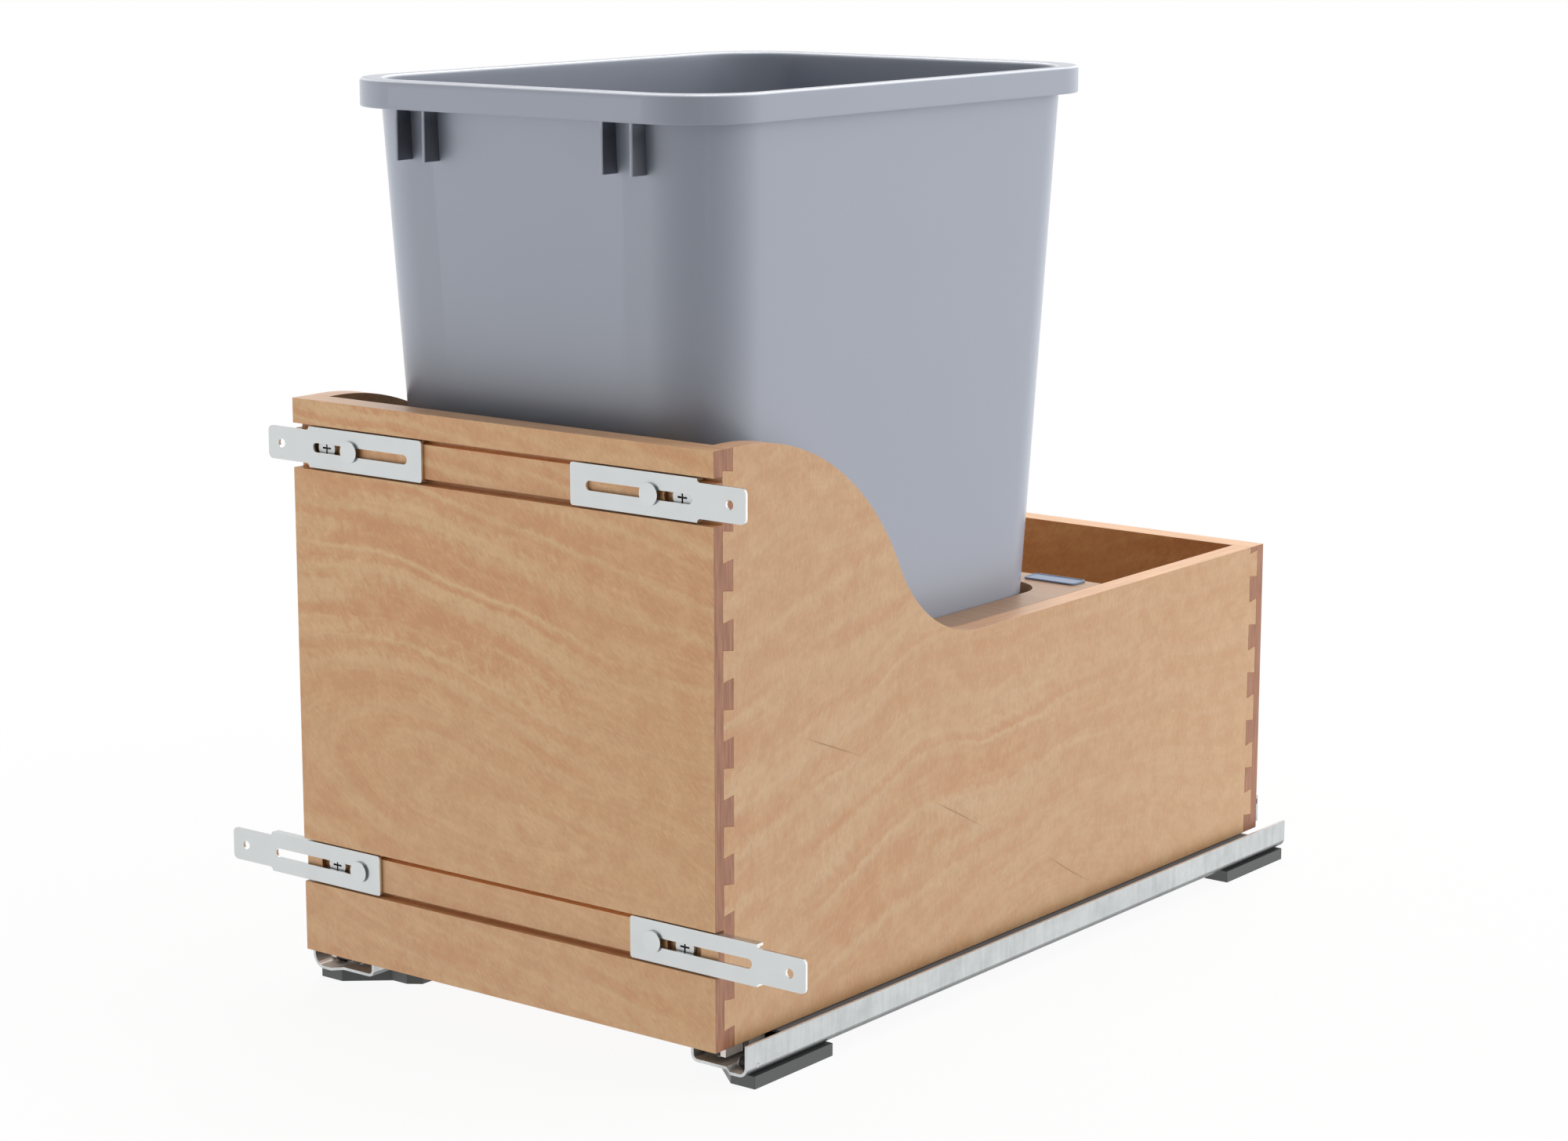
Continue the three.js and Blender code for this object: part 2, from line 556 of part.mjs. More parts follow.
/** Points of a rounded rectangle at one height, counter-clockwise from above. */
function binRing(halfX, halfY, radius, z) {
  const ring = [];
  for (const [sx, sy, start] of [[1, -1, -90], [1, 1, 0], [-1, 1, 90], [-1, -1, 180]]) {
    for (let step = 0; step <= BIN_CORNER_STEPS; step += 1) {
      const angle = THREE.MathUtils.degToRad(start + (90 * step) / BIN_CORNER_STEPS);
      const x = BIN_SHIFT + sx * (halfX - radius) + radius * Math.cos(angle);
      const y = fromFront(BIN_CENTRE) + sy * (halfY - radius) + radius * Math.sin(angle);
      ring.push([x, y, z]);
    }
  }
  return ring;
}

/** Ring on the body's tapering wall, set in from its outer surface. */
function wallRing(z, inset) {
  const taper = BIN_TAPER * (RIM_BOTTOM - z);
  return binRing(BIN_HALF_WIDTH - taper - inset, BIN_HALF_DEPTH - taper - inset,
    BIN_CORNER - inset, z);
}

/** Ring on the rim, set in from the skirt's outer face. */
function rimRing(z, inset) {
  return binRing(RIM_HALF_WIDTH - inset, RIM_HALF_DEPTH - inset, RIM_CORNER - inset, z);
}

/** Closed surface through rings of equal size, capped at its first and last ring. */
function loft(rings) {
  const size = rings[0].length;
  const points = rings.flat();
  const triangles = [];
  for (let r = 0; r + 1 < rings.length; r += 1) {
    for (let k = 0; k < size; k += 1) {
      const next = (k + 1) % size;
      const a = r * size + k;
      const b = r * size + next;
      const c = (r + 1) * size + next;
      const d = (r + 1) * size + k;
      triangles.push(a, b, c, a, c, d);
    }
  }
  const last = (rings.length - 1) * size;
  for (let k = 1; k + 1 < size; k += 1) {
    triangles.push(0, k + 1, k);
    triangles.push(last, last + k, last + k + 1);
  }
  const geometry = new THREE.BufferGeometry();
  geometry.setAttribute('position', new THREE.Float32BufferAttribute(points.flat(), 3));
  geometry.setIndex(triangles);
  return geometry;
}

function wasteBin() {
  const bottom = PANEL_TOP + 0.2;
  const bottomRound = 8;
  const insideBottom = bottom + BIN_WALL;
  const underRim = BIN_TOP - 2.4;
  const skirtInside = 2.2;
  const shell = loft([
    wallRing(bottom, bottomRound),
    wallRing(bottom + bottomRound * 0.3, bottomRound * 0.3),
    wallRing(bottom + bottomRound, 0),
    wallRing(underRim, 0),
    rimRing(underRim, skirtInside),
    rimRing(RIM_BOTTOM, skirtInside),
    rimRing(RIM_BOTTOM, 0),
    rimRing(BIN_TOP - RIM_ROUND, 0),
    rimRing(BIN_TOP - RIM_ROUND * 0.3, RIM_ROUND * 0.3),
    rimRing(BIN_TOP, RIM_ROUND),
    wallRing(BIN_TOP, BIN_WALL - 1.2),
    wallRing(BIN_TOP - 1.2, BIN_WALL),
    wallRing(insideBottom + bottomRound, BIN_WALL),
    wallRing(insideBottom, BIN_WALL + bottomRound),
  ]);
  let body = solid(shell);
  for (const end of [-1, 1]) {
    const skirt = fromFront(BIN_CENTRE) + end * (RIM_HALF_DEPTH - 0.4);
    const wall = fromFront(BIN_CENTRE) + end * (BIN_HALF_DEPTH - 2.2);
    for (const pair of [-1, 1]) {
      for (const offset of [-1, 1]) {
        const x = BIN_SHIFT + pair * RIB_PAIR_X + offset * RIB_SPACING / 2;
        body = body.add(solid(block([x - RIB_THICKNESS / 2, x + RIB_THICKNESS / 2],
          [Math.min(skirt, wall), Math.max(skirt, wall)], [RIM_BOTTOM - RIB_DROP, underRim + 0.5])));
      }
    }
  }
  return surface(body);
}

addPart('waste_bin', wasteBin(), palette.grey_plastic);

// ---------------------------------------------------------------------------------------------
// Door brackets with their clamp studs and locking screws
// ---------------------------------------------------------------------------------------------

/** Bracket drawn with its length along X from 0, its middle line on Z = 0. */
function bracketBlank() {
  const wide = BRACKET_WIDE / 2;
  const tab = BRACKET_TAB / 2;
  const step = BRACKET_LENGTH - BRACKET_TAB_LENGTH;
  const fillet = wide - tab;
  const endRound = BRACKET_END_ROUND;
  const innerRound = BRACKET_INNER_ROUND;
  const outline = new THREE.Shape();
  outline.moveTo(innerRound, -wide);
  outline.lineTo(step, -wide);
  outline.absarc(step + fillet, -wide, fillet, Math.PI, Math.PI / 2, true);
  outline.lineTo(BRACKET_LENGTH - endRound, -tab);
  outline.absarc(BRACKET_LENGTH - endRound, -tab + endRound, endRound, -Math.PI / 2, 0, false);
  outline.absarc(BRACKET_LENGTH - endRound, tab - endRound, endRound, 0, Math.PI / 2, false);
  outline.lineTo(step + fillet, tab);
  outline.absarc(step + fillet, wide, fillet, -Math.PI / 2, -Math.PI, true);
  outline.lineTo(innerRound, wide);
  outline.absarc(innerRound, wide - innerRound, innerRound, Math.PI / 2, Math.PI, false);
  outline.absarc(innerRound, -wide + innerRound, innerRound, Math.PI, 1.5 * Math.PI, false);

  const slotMiddle = SLOT_START + SLOT_LENGTH / 2;
  outline.holes.push(roundedRectangle(slotMiddle, 0, SLOT_LENGTH / 2, SLOT_HEIGHT / 2,
    SLOT_HEIGHT / 2));
  const hole = new THREE.Path();
  hole.absarc(BRACKET_LENGTH - TAB_HOLE_INSET, 0, TAB_HOLE, 0, 2 * Math.PI, false);
  outline.holes.push(hole);

  const sheet = alongY(outline, fromFront(BRACKET_FACE), fromFront(BRACKET_FACE + BRACKET_SHEET), 5);
  const flangeDepth = [fromFront(BRACKET_FACE), fromFront(BRACKET_FACE + BRACKET_FLANGE)];
  const flanges = [-1, 1].map((edge) => {
    const z = [edge * wide, edge * (wide - BRACKET_SHEET)];
    return block([innerRound, step], flangeDepth, [Math.min(...z), Math.max(...z)]);
  });
  return surface(joined([sheet, ...flanges]));
}

function clampStud(x, z) {
  const seat = fromFront(BRACKET_FACE - STUD_DISC_GAP);
  const disc = rod('y', STUD_DISC, seat - STUD_DISC_THICKNESS, seat, [x, z], 32);
  const shank = rod('y', STUD_SHANK, seat - 0.4, fromFront(STUD_DEPTH), [x, z], 16);
  return surface(joined([disc, shank]));
}

/** Locking screw with a cross recess, its head in the pocket behind the bracket's slot. */
function lockScrew(x, z) {
  const seat = fromFront(LOCK_POCKET_DEPTH - 0.2);
  const head = rod('y', LOCK_HEAD, fromFront(LOCK_FACE), seat, [x, z], 24);
  const shank = rod('y', LOCK_SHANK, seat - 0.8, fromFront(STUD_DEPTH), [x, z], 16);
  const { half, halfWidth, depth } = CROSS;
  const recess = [fromFront(LOCK_FACE - 1), fromFront(LOCK_FACE + depth)];
  return surface(cut(joined([head, shank]), [
    block([x - half, x + half], recess, [z - halfWidth, z + halfWidth]),
    block([x - halfWidth, x + halfWidth], recess, [z - half, z + half]),
  ]));
}

for (const [level, z] of Object.entries(BAND_CENTRES)) {
  for (const [sideName, side] of [['right', 1], ['left', -1]]) {
    const bracket = bracketBlank().translate(BRACKET_INNER_X[level], 0, z);
    const label = `${level}_${sideName}`;
    addPart(`door_bracket_${label}`, mirrored(bracket, side), palette.bracket_steel);
    addPart(`clamp_stud_${label}`, clampStud(side * STUD_X, z), palette.bracket_steel);
    addPart(`lock_screw_${label}`, lockScrew(side * LOCK_X, z), palette.bracket_steel);
  }
}

// ---------------------------------------------------------------------------------------------
// Runners: cabinet channel, middle rail, drawer rail, carriages, front roller and end cap
// ---------------------------------------------------------------------------------------------

/** Section of a cabinet channel in (X, Z), drawn for the right side. */
function channelSection({ innerX, outerRadius, stepStart, stepRun }) {
  const t = RUNNER_SHEET;
  const low = CHANNEL_BOTTOM;
  const high = CHANNEL_BOTTOM + CHANNEL_STEP;
  const outer = CHANNEL_OUTER_X;
  const innerRadius = CHANNEL_INNER_RADIUS;
  const section = new THREE.Shape();
  section.moveTo(outer, OUTER_FLANGE_TOP);
  section.lineTo(outer - t, OUTER_FLANGE_TOP);
  section.absarc(outer - outerRadius, low + outerRadius, outerRadius - t, 0, -Math.PI / 2, true);
  section.lineTo(stepStart, low + t);
  section.lineTo(stepStart - stepRun, high + t);
  section.absarc(innerX + innerRadius, high + innerRadius, innerRadius - t, -Math.PI / 2, -Math.PI, true);
  section.lineTo(innerX + t, INNER_FLANGE_TOP);
  section.lineTo(innerX, INNER_FLANGE_TOP);
  section.absarc(innerX + innerRadius, high + innerRadius, innerRadius, Math.PI, 1.5 * Math.PI, false);
  section.lineTo(stepStart - stepRun, high);
  section.lineTo(stepStart, low);
  section.absarc(outer - outerRadius, low + outerRadius, outerRadius, -Math.PI / 2, 0, false);
  section.closePath();
  return section;
}

function cabinetChannel(channel) {
  const rail = alongY(channelSection(channel), fromFront(CHANNEL_FRONT), fromFront(CHANNEL_REAR), 4);
  const holes = Object.values(BLOCK_SCREW_DEPTHS).map((depth) => rod('z', 2,
    CHANNEL_BOTTOM - 1, CHANNEL_BOTTOM + 3, [channel.screwX, fromFront(depth)], 12));
  holes.push(rod('x', ROLLER.pin + 0.1, channel.roller.outerX, CHANNEL_OUTER_X + 1,
    [fromFront(channel.roller.fromFront), rollerHeight()], 12));
  holes.push(rod('z', PILOT_HOLE.radius, UPPER_BASE_TOP - 3, UPPER_BASE_TOP + 1,
    [PILOT_HOLE.x, fromFront(PILOT_HOLE.fromFront)], 12));
  const stop = block([STOP_TAB.innerX, STOP_TAB.outerX],
    [fromFront(STOP_TAB.fromFront), fromFront(STOP_TAB.fromFront + RUNNER_SHEET)],
    [UPPER_BASE_TOP - RUNNER_SHEET / 2, STOP_TAB.top]);
  return surface(cut(joined([rail, stop]), holes));
}

/** The front roller carries the foot of the middle rail, so its top lies just under that foot. */
function rollerHeight() {
  return MID_RAIL.footBottom - CLEARANCE - ROLLER.radius;
}

function midRail() {
  const { front, rear, innerX, outerX, top, innerBottom, footBottom, foot } = MID_RAIL;
  const t = RUNNER_SHEET;
  const footX = outerX - foot;
  const under = top - t;
  const section = polygon([
    [innerX, top], [innerX, innerBottom], [innerX + t, innerBottom], [innerX + t, under],
    [outerX - t, under], [outerX - t, footBottom + t], [footX, footBottom + t],
    [footX, footBottom], [outerX, footBottom], [outerX, top],
  ]);
  return alongY(section, fromFront(front), fromFront(rear));
}

/** Drawer rail: a hat section in the recess under the panel, a cradle with a hemmed edge under the
 *  front of the side board, and a hook that enters the back board. */
function drawerRail() {
  const { front, rear, innerX, outerX } = DRAWER_RAIL;
  const t = RUNNER_SHEET;
  const top = PANEL_BOTTOM - CLEARANCE;
  const flangeBottom = MID_RAIL.top + 0.6;
  const section = polygon([
    [innerX, top], [innerX, flangeBottom], [innerX + t, flangeBottom], [innerX + t, top - t],
    [outerX - t, top - t], [outerX - t, flangeBottom], [outerX, flangeBottom], [outerX, top],
  ]);
  const cradleTop = BOX_BOTTOM - CLEARANCE;
  const cradleBottom = cradleTop - CRADLE.thickness;
  const cradleDepth = [fromFront(CRADLE.front), fromFront(CRADLE.rear)];
  const hem = [[CRADLE.front, CRADLE.notchFront], [CRADLE.notchRear, CRADLE.rear]].map((depths) =>
    block([CRADLE.outerX - CRADLE.hem, CRADLE.outerX], depths.map(fromFront),
      [CRADLE.hemBottom, cradleTop]));
  return surface(joined([
    alongY(section, fromFront(front), fromFront(rear)),
    block([CRADLE.innerX, CRADLE.outerX], cradleDepth, [cradleBottom, cradleTop]),
    ...hem,
    block([outerX - t, outerX], [fromFront(front), fromFront(CRADLE.rear)],
      [cradleBottom, flangeBottom + 1]),
    block([innerX, outerX], [fromFront(rear - t), fromFront(rear)], [flangeBottom, top]),
    block([HOOK.innerX, HOOK.outerX], [fromFront(rear - 1), fromFront(BOX_DEPTH + 3)],
      [HOOK.bottom, HOOK.top]),
  ]));
}

/** Carriage: a cage with a row of rollers standing a little proud of its top and bottom. */
function carriage({ front, rear, innerX, outerX }, bottom, top) {
  const radius = (top - bottom) / 2;
  const count = Math.round((rear - front) / ROLLER_PITCH);
  const spacing = (rear - front) / count;
  const cage = block([innerX, outerX], [fromFront(front), fromFront(rear)],
    [bottom + CAGE_INSET, top - CAGE_INSET]);
  const rollers = Array.from({ length: count }, (_, k) => rod('x', radius, innerX + 1, outerX - 1,
    [fromFront(front + spacing * (k + 0.5)), bottom + radius], 16));
  return surface(joined([cage, ...rollers]));
}

function frontRoller({ fromFront: depth, innerX, outerX }) {
  const at = [fromFront(depth), rollerHeight()];
  const wheel = rod('x', ROLLER.radius, innerX, outerX, at, 24);
  return surface(cut(solid(wheel), [rod('x', ROLLER.bore, innerX - 1, outerX + 1, at, 16)]));
}

function rollerPin({ fromFront: depth, innerX }) {
  const at = [fromFront(depth), rollerHeight()];
  const shank = rod('x', ROLLER.pin, innerX - 0.6, CHANNEL_OUTER_X, at, 16);
  const head = rod('x', ROLLER.pinHead, innerX - 1.4, innerX - CLEARANCE, at, 16);
  return surface(joined([shank, head]));
}

/** Plastic end of the drawer rail, held under the cradle's plate. */
function railEndCap() {
  const { front, rear, innerX, outerX, bottom } = END_CAP;
  const top = BOX_BOTTOM - 2 * CLEARANCE - CRADLE.thickness;
  const outline = polygon([
    [fromFront(front), bottom], [fromFront(rear - 6), bottom], [fromFront(rear), bottom + 2.5],
    [fromFront(rear), top], [fromFront(front), top],
  ]);
  return alongX(outline, innerX, outerX);
}

const MID_UNDER = MID_RAIL.top - RUNNER_SHEET;
const RAIL_UNDER = PANEL_BOTTOM - CLEARANCE - RUNNER_SHEET;
for (const [name, channel] of Object.entries(CHANNELS)) {
  const { side } = channel;
  const place = (geometry) => mirrored(geometry, side);
  addPart(`cabinet_channel_${name}`, place(cabinetChannel(channel)), palette.galvanised);
  addPart(`mid_rail_${name}`, place(midRail()), palette.galvanised);
  addPart(`drawer_rail_${name}`, place(drawerRail()), palette.galvanised);
  addPart(`lower_carriage_${name}`, place(carriage(LOWER_CARRIAGE,
    UPPER_BASE_TOP + CLEARANCE, MID_UNDER - CLEARANCE)), palette.black_plastic);
  addPart(`upper_carriage_${name}`, place(carriage(UPPER_CARRIAGE,
    MID_RAIL.top + CLEARANCE, RAIL_UNDER - CLEARANCE)), palette.black_plastic);
  addPart(`front_roller_${name}`, place(frontRoller(channel.roller)), palette.black_plastic);
  addPart(`roller_pin_${name}`, place(rollerPin(channel.roller)), palette.galvanised);
  addPart(`rail_end_cap_${name}`, place(railEndCap()), palette.black_plastic);
}

// ---------------------------------------------------------------------------------------------
// Soft-close units: open trough, cylinder, and a rod with its catch
// ---------------------------------------------------------------------------------------------

function damperHousing(outerX) {
  const { front, rear, width, bottom, top, wall } = DAMPER;
  const innerX = outerX - width;
  const trough = block([innerX, outerX], [fromFront(front), fromFront(rear)], [bottom, top]);
  return surface(cut(solid(trough), [
    block([innerX + wall, outerX - wall], [fromFront(front + wall), fromFront(rear - wall)],
      [bottom + wall, top + 1]),
  ]));
}

/** Cylinder with a blind bore for the rod, turned about its own axis. */
function damperCylinder(x, z) {
  const { front, rear, radius, bore, closedEnd } = CYLINDER;
  const length = rear - front;
  const profile = [
    [0, 0], [radius, 0], [radius, length], [bore, length], [bore, closedEnd], [0, closedEnd],
  ].map(([r, h]) => new THREE.Vector2(r, h));
  const turned = new THREE.LatheGeometry(profile, 20);
  return turned.rotateX(Math.PI).translate(x, fromFront(rear), z);
}

function damperCatch(x, z) {
  const { front, rear, top, toothTop, toothHalfWidth, toothLength, rod: rodRadius } = CATCH;
  const half = DAMPER.width / 2 - DAMPER.wall - CLEARANCE;
  const bottom = DAMPER.bottom + DAMPER.wall + CLEARANCE;
  const slider = block([x - half, x + half], [fromFront(front), fromFront(rear)], [bottom, top]);
  const tooth = block([x - toothHalfWidth, x + toothHalfWidth],
    [fromFront(front), fromFront(front + toothLength)], [top - 0.5, toothTop]);
  const pistonRod = rod('y', rodRadius, fromFront(rear - 2),
    fromFront(CYLINDER.front + CATCH.rodInCylinder), [x, z], 12);
  return surface(joined([slider, tooth, pistonRod]));
}

for (const [name, channel] of Object.entries(CHANNELS)) {
  const outerX = channel.innerX - CLEARANCE;
  const x = outerX - DAMPER.width / 2;
  const z = DAMPER.bottom + DAMPER.wall + CLEARANCE + CYLINDER.radius;
  const place = (geometry) => mirrored(geometry, channel.side);
  addPart(`damper_housing_${name}`, place(damperHousing(outerX)), palette.black_plastic);
  addPart(`damper_cylinder_${name}`, place(damperCylinder(x, z)), palette.galvanised);
  addPart(`damper_catch_${name}`, place(damperCatch(x, z)), palette.black_plastic);
}

// ---------------------------------------------------------------------------------------------
// Locking clips with their levers, hook plates, and the screws that hold them
// ---------------------------------------------------------------------------------------------

function clipScrewPlace() {
  return [CLIP_SCREW.x, fromFront(CLIP_SCREW.fromFront)];
}

function lockingClip() {
  const body = block([CLIP.innerX, CLIP.outerX], [fromFront(CLIP.front), fromFront(CLIP.rear)],
    [CLIP.bottom, PANEL_BOTTOM - CLEARANCE]);
  return surface(cut(solid(body), [
    rod('z', LEVER.pin + 0.2, CLIP.bottom - 1, CLIP.bottom + 6.5,
      [LEVER.x, fromFront(LEVER.pivot)], 16),
    rod('z', 2, CLIP.bottom - 1, PANEL_BOTTOM + 1, clipScrewPlace(), 12),
  ]));
}

/** Release lever: a flat arm under the clip with its pivot pin on top. */
function clipLever() {
  const { x, pivot, front, halfWidth, bottom, pin } = LEVER;
  const rear = pivot + halfWidth;
  const outline = roundedRectangle(x, fromFront((front + rear) / 2), halfWidth,
    (rear - front) / 2, halfWidth - 0.01);
  const arm = alongZ(outline, bottom, CLIP.bottom - CLEARANCE, 6);
  const stem = rod('z', pin, bottom + 1, CLIP.bottom + 6.2, [x, fromFront(pivot)], 16);
  return surface(joined([arm, stem]));
}

/** Pan-head screw standing on its head's underside at `seat`, pointing up or down along Z. */
function screwAlongZ([x, y], seat, direction, headRadius, headHeight, shankRadius, length) {
  const head = [seat - direction * headHeight, seat];
  const shank = [seat - direction * 0.4, seat + direction * length];
  return surface(joined([
    rod('z', headRadius, Math.min(...head), Math.max(...head), [x, y], 16),
    rod('z', shankRadius, Math.min(...shank), Math.max(...shank), [x, y], 12),
  ]));
}

/** Plate on the back board that the drawer rail's hook enters, with a slot in its outer edge. */
function hookPlate() {
  const face = fromFront(BOX_DEPTH) + CLEARANCE;
  const { innerX, outerX, bottom, top, thickness } = HOOK_PLATE;
  const plate = block([innerX, outerX], [face, face + thickness], [bottom, top]);
  return surface(cut(solid(plate), [
    hookHole(1, face - 1, face + thickness + 1),
    rod('y', HOOK_SCREW.shank + 0.2, face - 1, face + thickness + 1,
      [HOOK_SCREW.x, HOOK_SCREW.z], 12),
    block([outerX - 5, outerX + 1], [face + 0.9, face + thickness - 0.8], [top - 5.2, top - 2]),
  ]));
}

function hookScrew() {
  const { x, z, shank, head, length } = HOOK_SCREW;
  const seat = fromFront(BOX_DEPTH) + CLEARANCE + HOOK_PLATE.thickness + 0.2;
  return surface(joined([
    rod('y', head, seat, seat + 1.8, [x, z], 16),
    rod('y', shank, seat - length, seat + 0.4, [x, z], 12),
  ]));
}

for (const [name, { side }] of Object.entries(CHANNELS)) {
  const place = (geometry) => mirrored(geometry, side);
  addPart(`locking_clip_${name}`, place(lockingClip()), palette.black_plastic);
  addPart(`clip_lever_${name}`, place(clipLever()), palette.black_plastic);
  addPart(`clip_screw_${name}`, place(screwAlongZ(clipScrewPlace(), CLIP.bottom - 0.2, 1,
    3, 1.4, 1.6, CLIP_SCREW.length)), palette.galvanised);
  addPart(`hook_plate_${name}`, place(hookPlate()), palette.galvanised);
  addPart(`hook_screw_${name}`, place(hookScrew()), palette.galvanised);
}

// ---------------------------------------------------------------------------------------------
// Floor blocks
// ---------------------------------------------------------------------------------------------

/** Block under one end of a channel: a bar beside the cabinet wall and an ear towards the middle
 *  with a hole for the floor screw. Drawn for the right side. */
function floorBlock(front, screw) {
  const { reach, shoulder, bend, recess, corner } = BLOCK_EAR;
  const outer = CHANNEL_OUTER_X;
  const rear = front + BLOCK_LENGTH;
  const outline = polygon([
    [outer, front], [outer, rear], [outer - BLOCK_BAR, rear],
    [outer - bend, rear - recess], [outer - shoulder, rear - recess],
    [outer - reach, rear - recess - corner], [outer - reach, front + recess + corner],
    [outer - shoulder, front + recess], [outer - bend, front + recess],
    [outer - BLOCK_BAR, front],
  ].map(([x, depth]) => [x, fromFront(depth)]));
  const base = alongZ(outline, 0, BLOCK_HEIGHT);
  const earHole = [outer - BLOCK_EAR_HOLE.reach, fromFront(front + BLOCK_LENGTH / 2)];
  return surface(cut(solid(base), [
    rod('z', BLOCK_EAR_HOLE.radius, -1, BLOCK_HEIGHT + 1, earHole, 16),
    rod('z', 2, 1, BLOCK_HEIGHT + 1, screw, 12),
  ]));
}

for (const [name, channel] of Object.entries(CHANNELS)) {
  for (const [end, front] of Object.entries(BLOCK_FRONTS)) {
    const screw = [channel.screwX, fromFront(BLOCK_SCREW_DEPTHS[end])];
    const label = `${end}_${name}`;
    addPart(`floor_block_${label}`, mirrored(floorBlock(front, screw), channel.side),
      palette.black_plastic);
    addPart(`block_screw_${label}`, mirrored(screwAlongZ(screw,
      CHANNEL_BOTTOM + RUNNER_SHEET + 0.2, -1, 3, 1.6, 1.7, 7.4), channel.side), palette.galvanised);
  }
}

export default unit;
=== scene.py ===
"""Pull-out waste unit: a dovetailed wooden box with one tall grey bin, on undermount runners.

The object stands on the cabinet floor at Z = 0, its front at -Y and its right side at +X. Lengths
are in metres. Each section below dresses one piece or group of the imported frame, or builds the
surface that stands for it.
"""

import bpy
import numpy as np
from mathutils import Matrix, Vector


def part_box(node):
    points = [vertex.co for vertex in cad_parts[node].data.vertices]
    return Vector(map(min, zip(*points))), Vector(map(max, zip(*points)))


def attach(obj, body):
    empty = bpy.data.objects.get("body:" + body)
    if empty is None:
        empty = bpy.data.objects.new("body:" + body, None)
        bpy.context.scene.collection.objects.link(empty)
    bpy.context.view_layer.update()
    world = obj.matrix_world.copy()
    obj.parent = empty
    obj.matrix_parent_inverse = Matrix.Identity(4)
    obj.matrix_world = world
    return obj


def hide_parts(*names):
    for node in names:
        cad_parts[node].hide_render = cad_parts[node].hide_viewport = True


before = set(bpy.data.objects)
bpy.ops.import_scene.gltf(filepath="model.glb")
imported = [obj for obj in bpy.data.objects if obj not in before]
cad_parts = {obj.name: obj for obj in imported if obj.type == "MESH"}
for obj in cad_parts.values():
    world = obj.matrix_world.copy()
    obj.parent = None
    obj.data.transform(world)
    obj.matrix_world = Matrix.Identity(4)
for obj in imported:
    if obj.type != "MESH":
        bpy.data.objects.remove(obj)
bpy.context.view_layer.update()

# ------------------------------------------------------------------------------------------------
# Camera: a long lens off the unit's right front corner, a hand's breadth above the bin's rim, that
# looks slightly down.

CAMERA_PLACE = (1.2004, -1.59595, 0.6086)
LOOK_DOWN, LOOK_LEFT = 0.1983, 0.6552  # radians
LENS, SENSOR_WIDTH = 81.44, 36  # millimetres

camera = bpy.data.objects.new("camera", bpy.data.cameras.new("camera"))
camera.location = CAMERA_PLACE
camera.rotation_euler = (np.pi / 2 - LOOK_DOWN, 0, LOOK_LEFT)
camera.data.lens = LENS
camera.data.sensor_width = SENSOR_WIDTH
bpy.context.collection.objects.link(camera)
bpy.context.scene.camera = camera
bpy.context.scene.view_settings.view_transform = "Standard"

# ------------------------------------------------------------------------------------------------
# Studio: a white dome that is brightest to the left of the front and to the right of the back, so
# that the corner facing the camera stays a little darker than the walls beside it. The eye and
# every mirror see it plain white.

LIT_SIDES = (  # direction, power of the cosine, strength
    ((-0.72, -0.69, -0.4), 5.0, 3.6),
    ((0.8, 0.6, -0.04), 5.0, 3.5),
    ((0.1, 0.3, 1), 3.0, 0.8),
)
EVEN_GLOW = 0.03


def wire(tree, kind, inputs=(), **settings):
    """Adds a node. Settings are its own; inputs are its sockets by name or number, each with a
    value or an output."""
    made = tree.nodes.new("ShaderNode" + kind)
    for key, value in settings.items():
        setattr(made, key, value)
    for key, value in dict(inputs).items():
        if isinstance(value, bpy.types.NodeSocket):
            tree.links.new(value, made.inputs[key])
        else:
            made.inputs[key].default_value = value
    return made


def reckon(tree, operation, *terms):
    """Arithmetic on numbers or outputs, from left to right; a single term is paired with 0."""
    total = terms[0]
    for term in terms[1:] or (0.0,):
        total = wire(tree, "Math", {0: total, 1: term}, operation=operation).outputs[0]
    return total


def lit_side(tree, direction, towards, power, strength):
    """Glow of the dome around one direction: the cosine to it, to a power, times a strength."""
    unit = tuple(Vector(towards).normalized())
    facing_it = wire(tree, "VectorMath", {0: direction, 1: unit}, operation="DOT_PRODUCT")
    cosine = reckon(tree, "MAXIMUM", facing_it.outputs["Value"])
    return reckon(tree, "MULTIPLY", reckon(tree, "POWER", cosine, power), strength)


studio = bpy.data.worlds.new("studio")
bpy.context.scene.world = studio
studio.use_nodes = True
dome = studio.node_tree
look = wire(dome, "TexCoord").outputs["Generated"]
glow = reckon(dome, "ADD", *[lit_side(dome, look, *side) for side in LIT_SIDES], EVEN_GLOW)
ray = wire(dome, "LightPath").outputs
plain = reckon(dome, "MAXIMUM", ray["Is Camera Ray"], ray["Is Glossy Ray"],
               ray["Is Transmission Ray"])
level = wire(dome, "Mix", {0: plain, 2: glow, 3: 1.0})
dome.nodes["Background"].inputs["Color"].default_value = (1, 1, 1, 1)
dome.links.new(level.outputs[0], dome.nodes["Background"].inputs["Strength"])

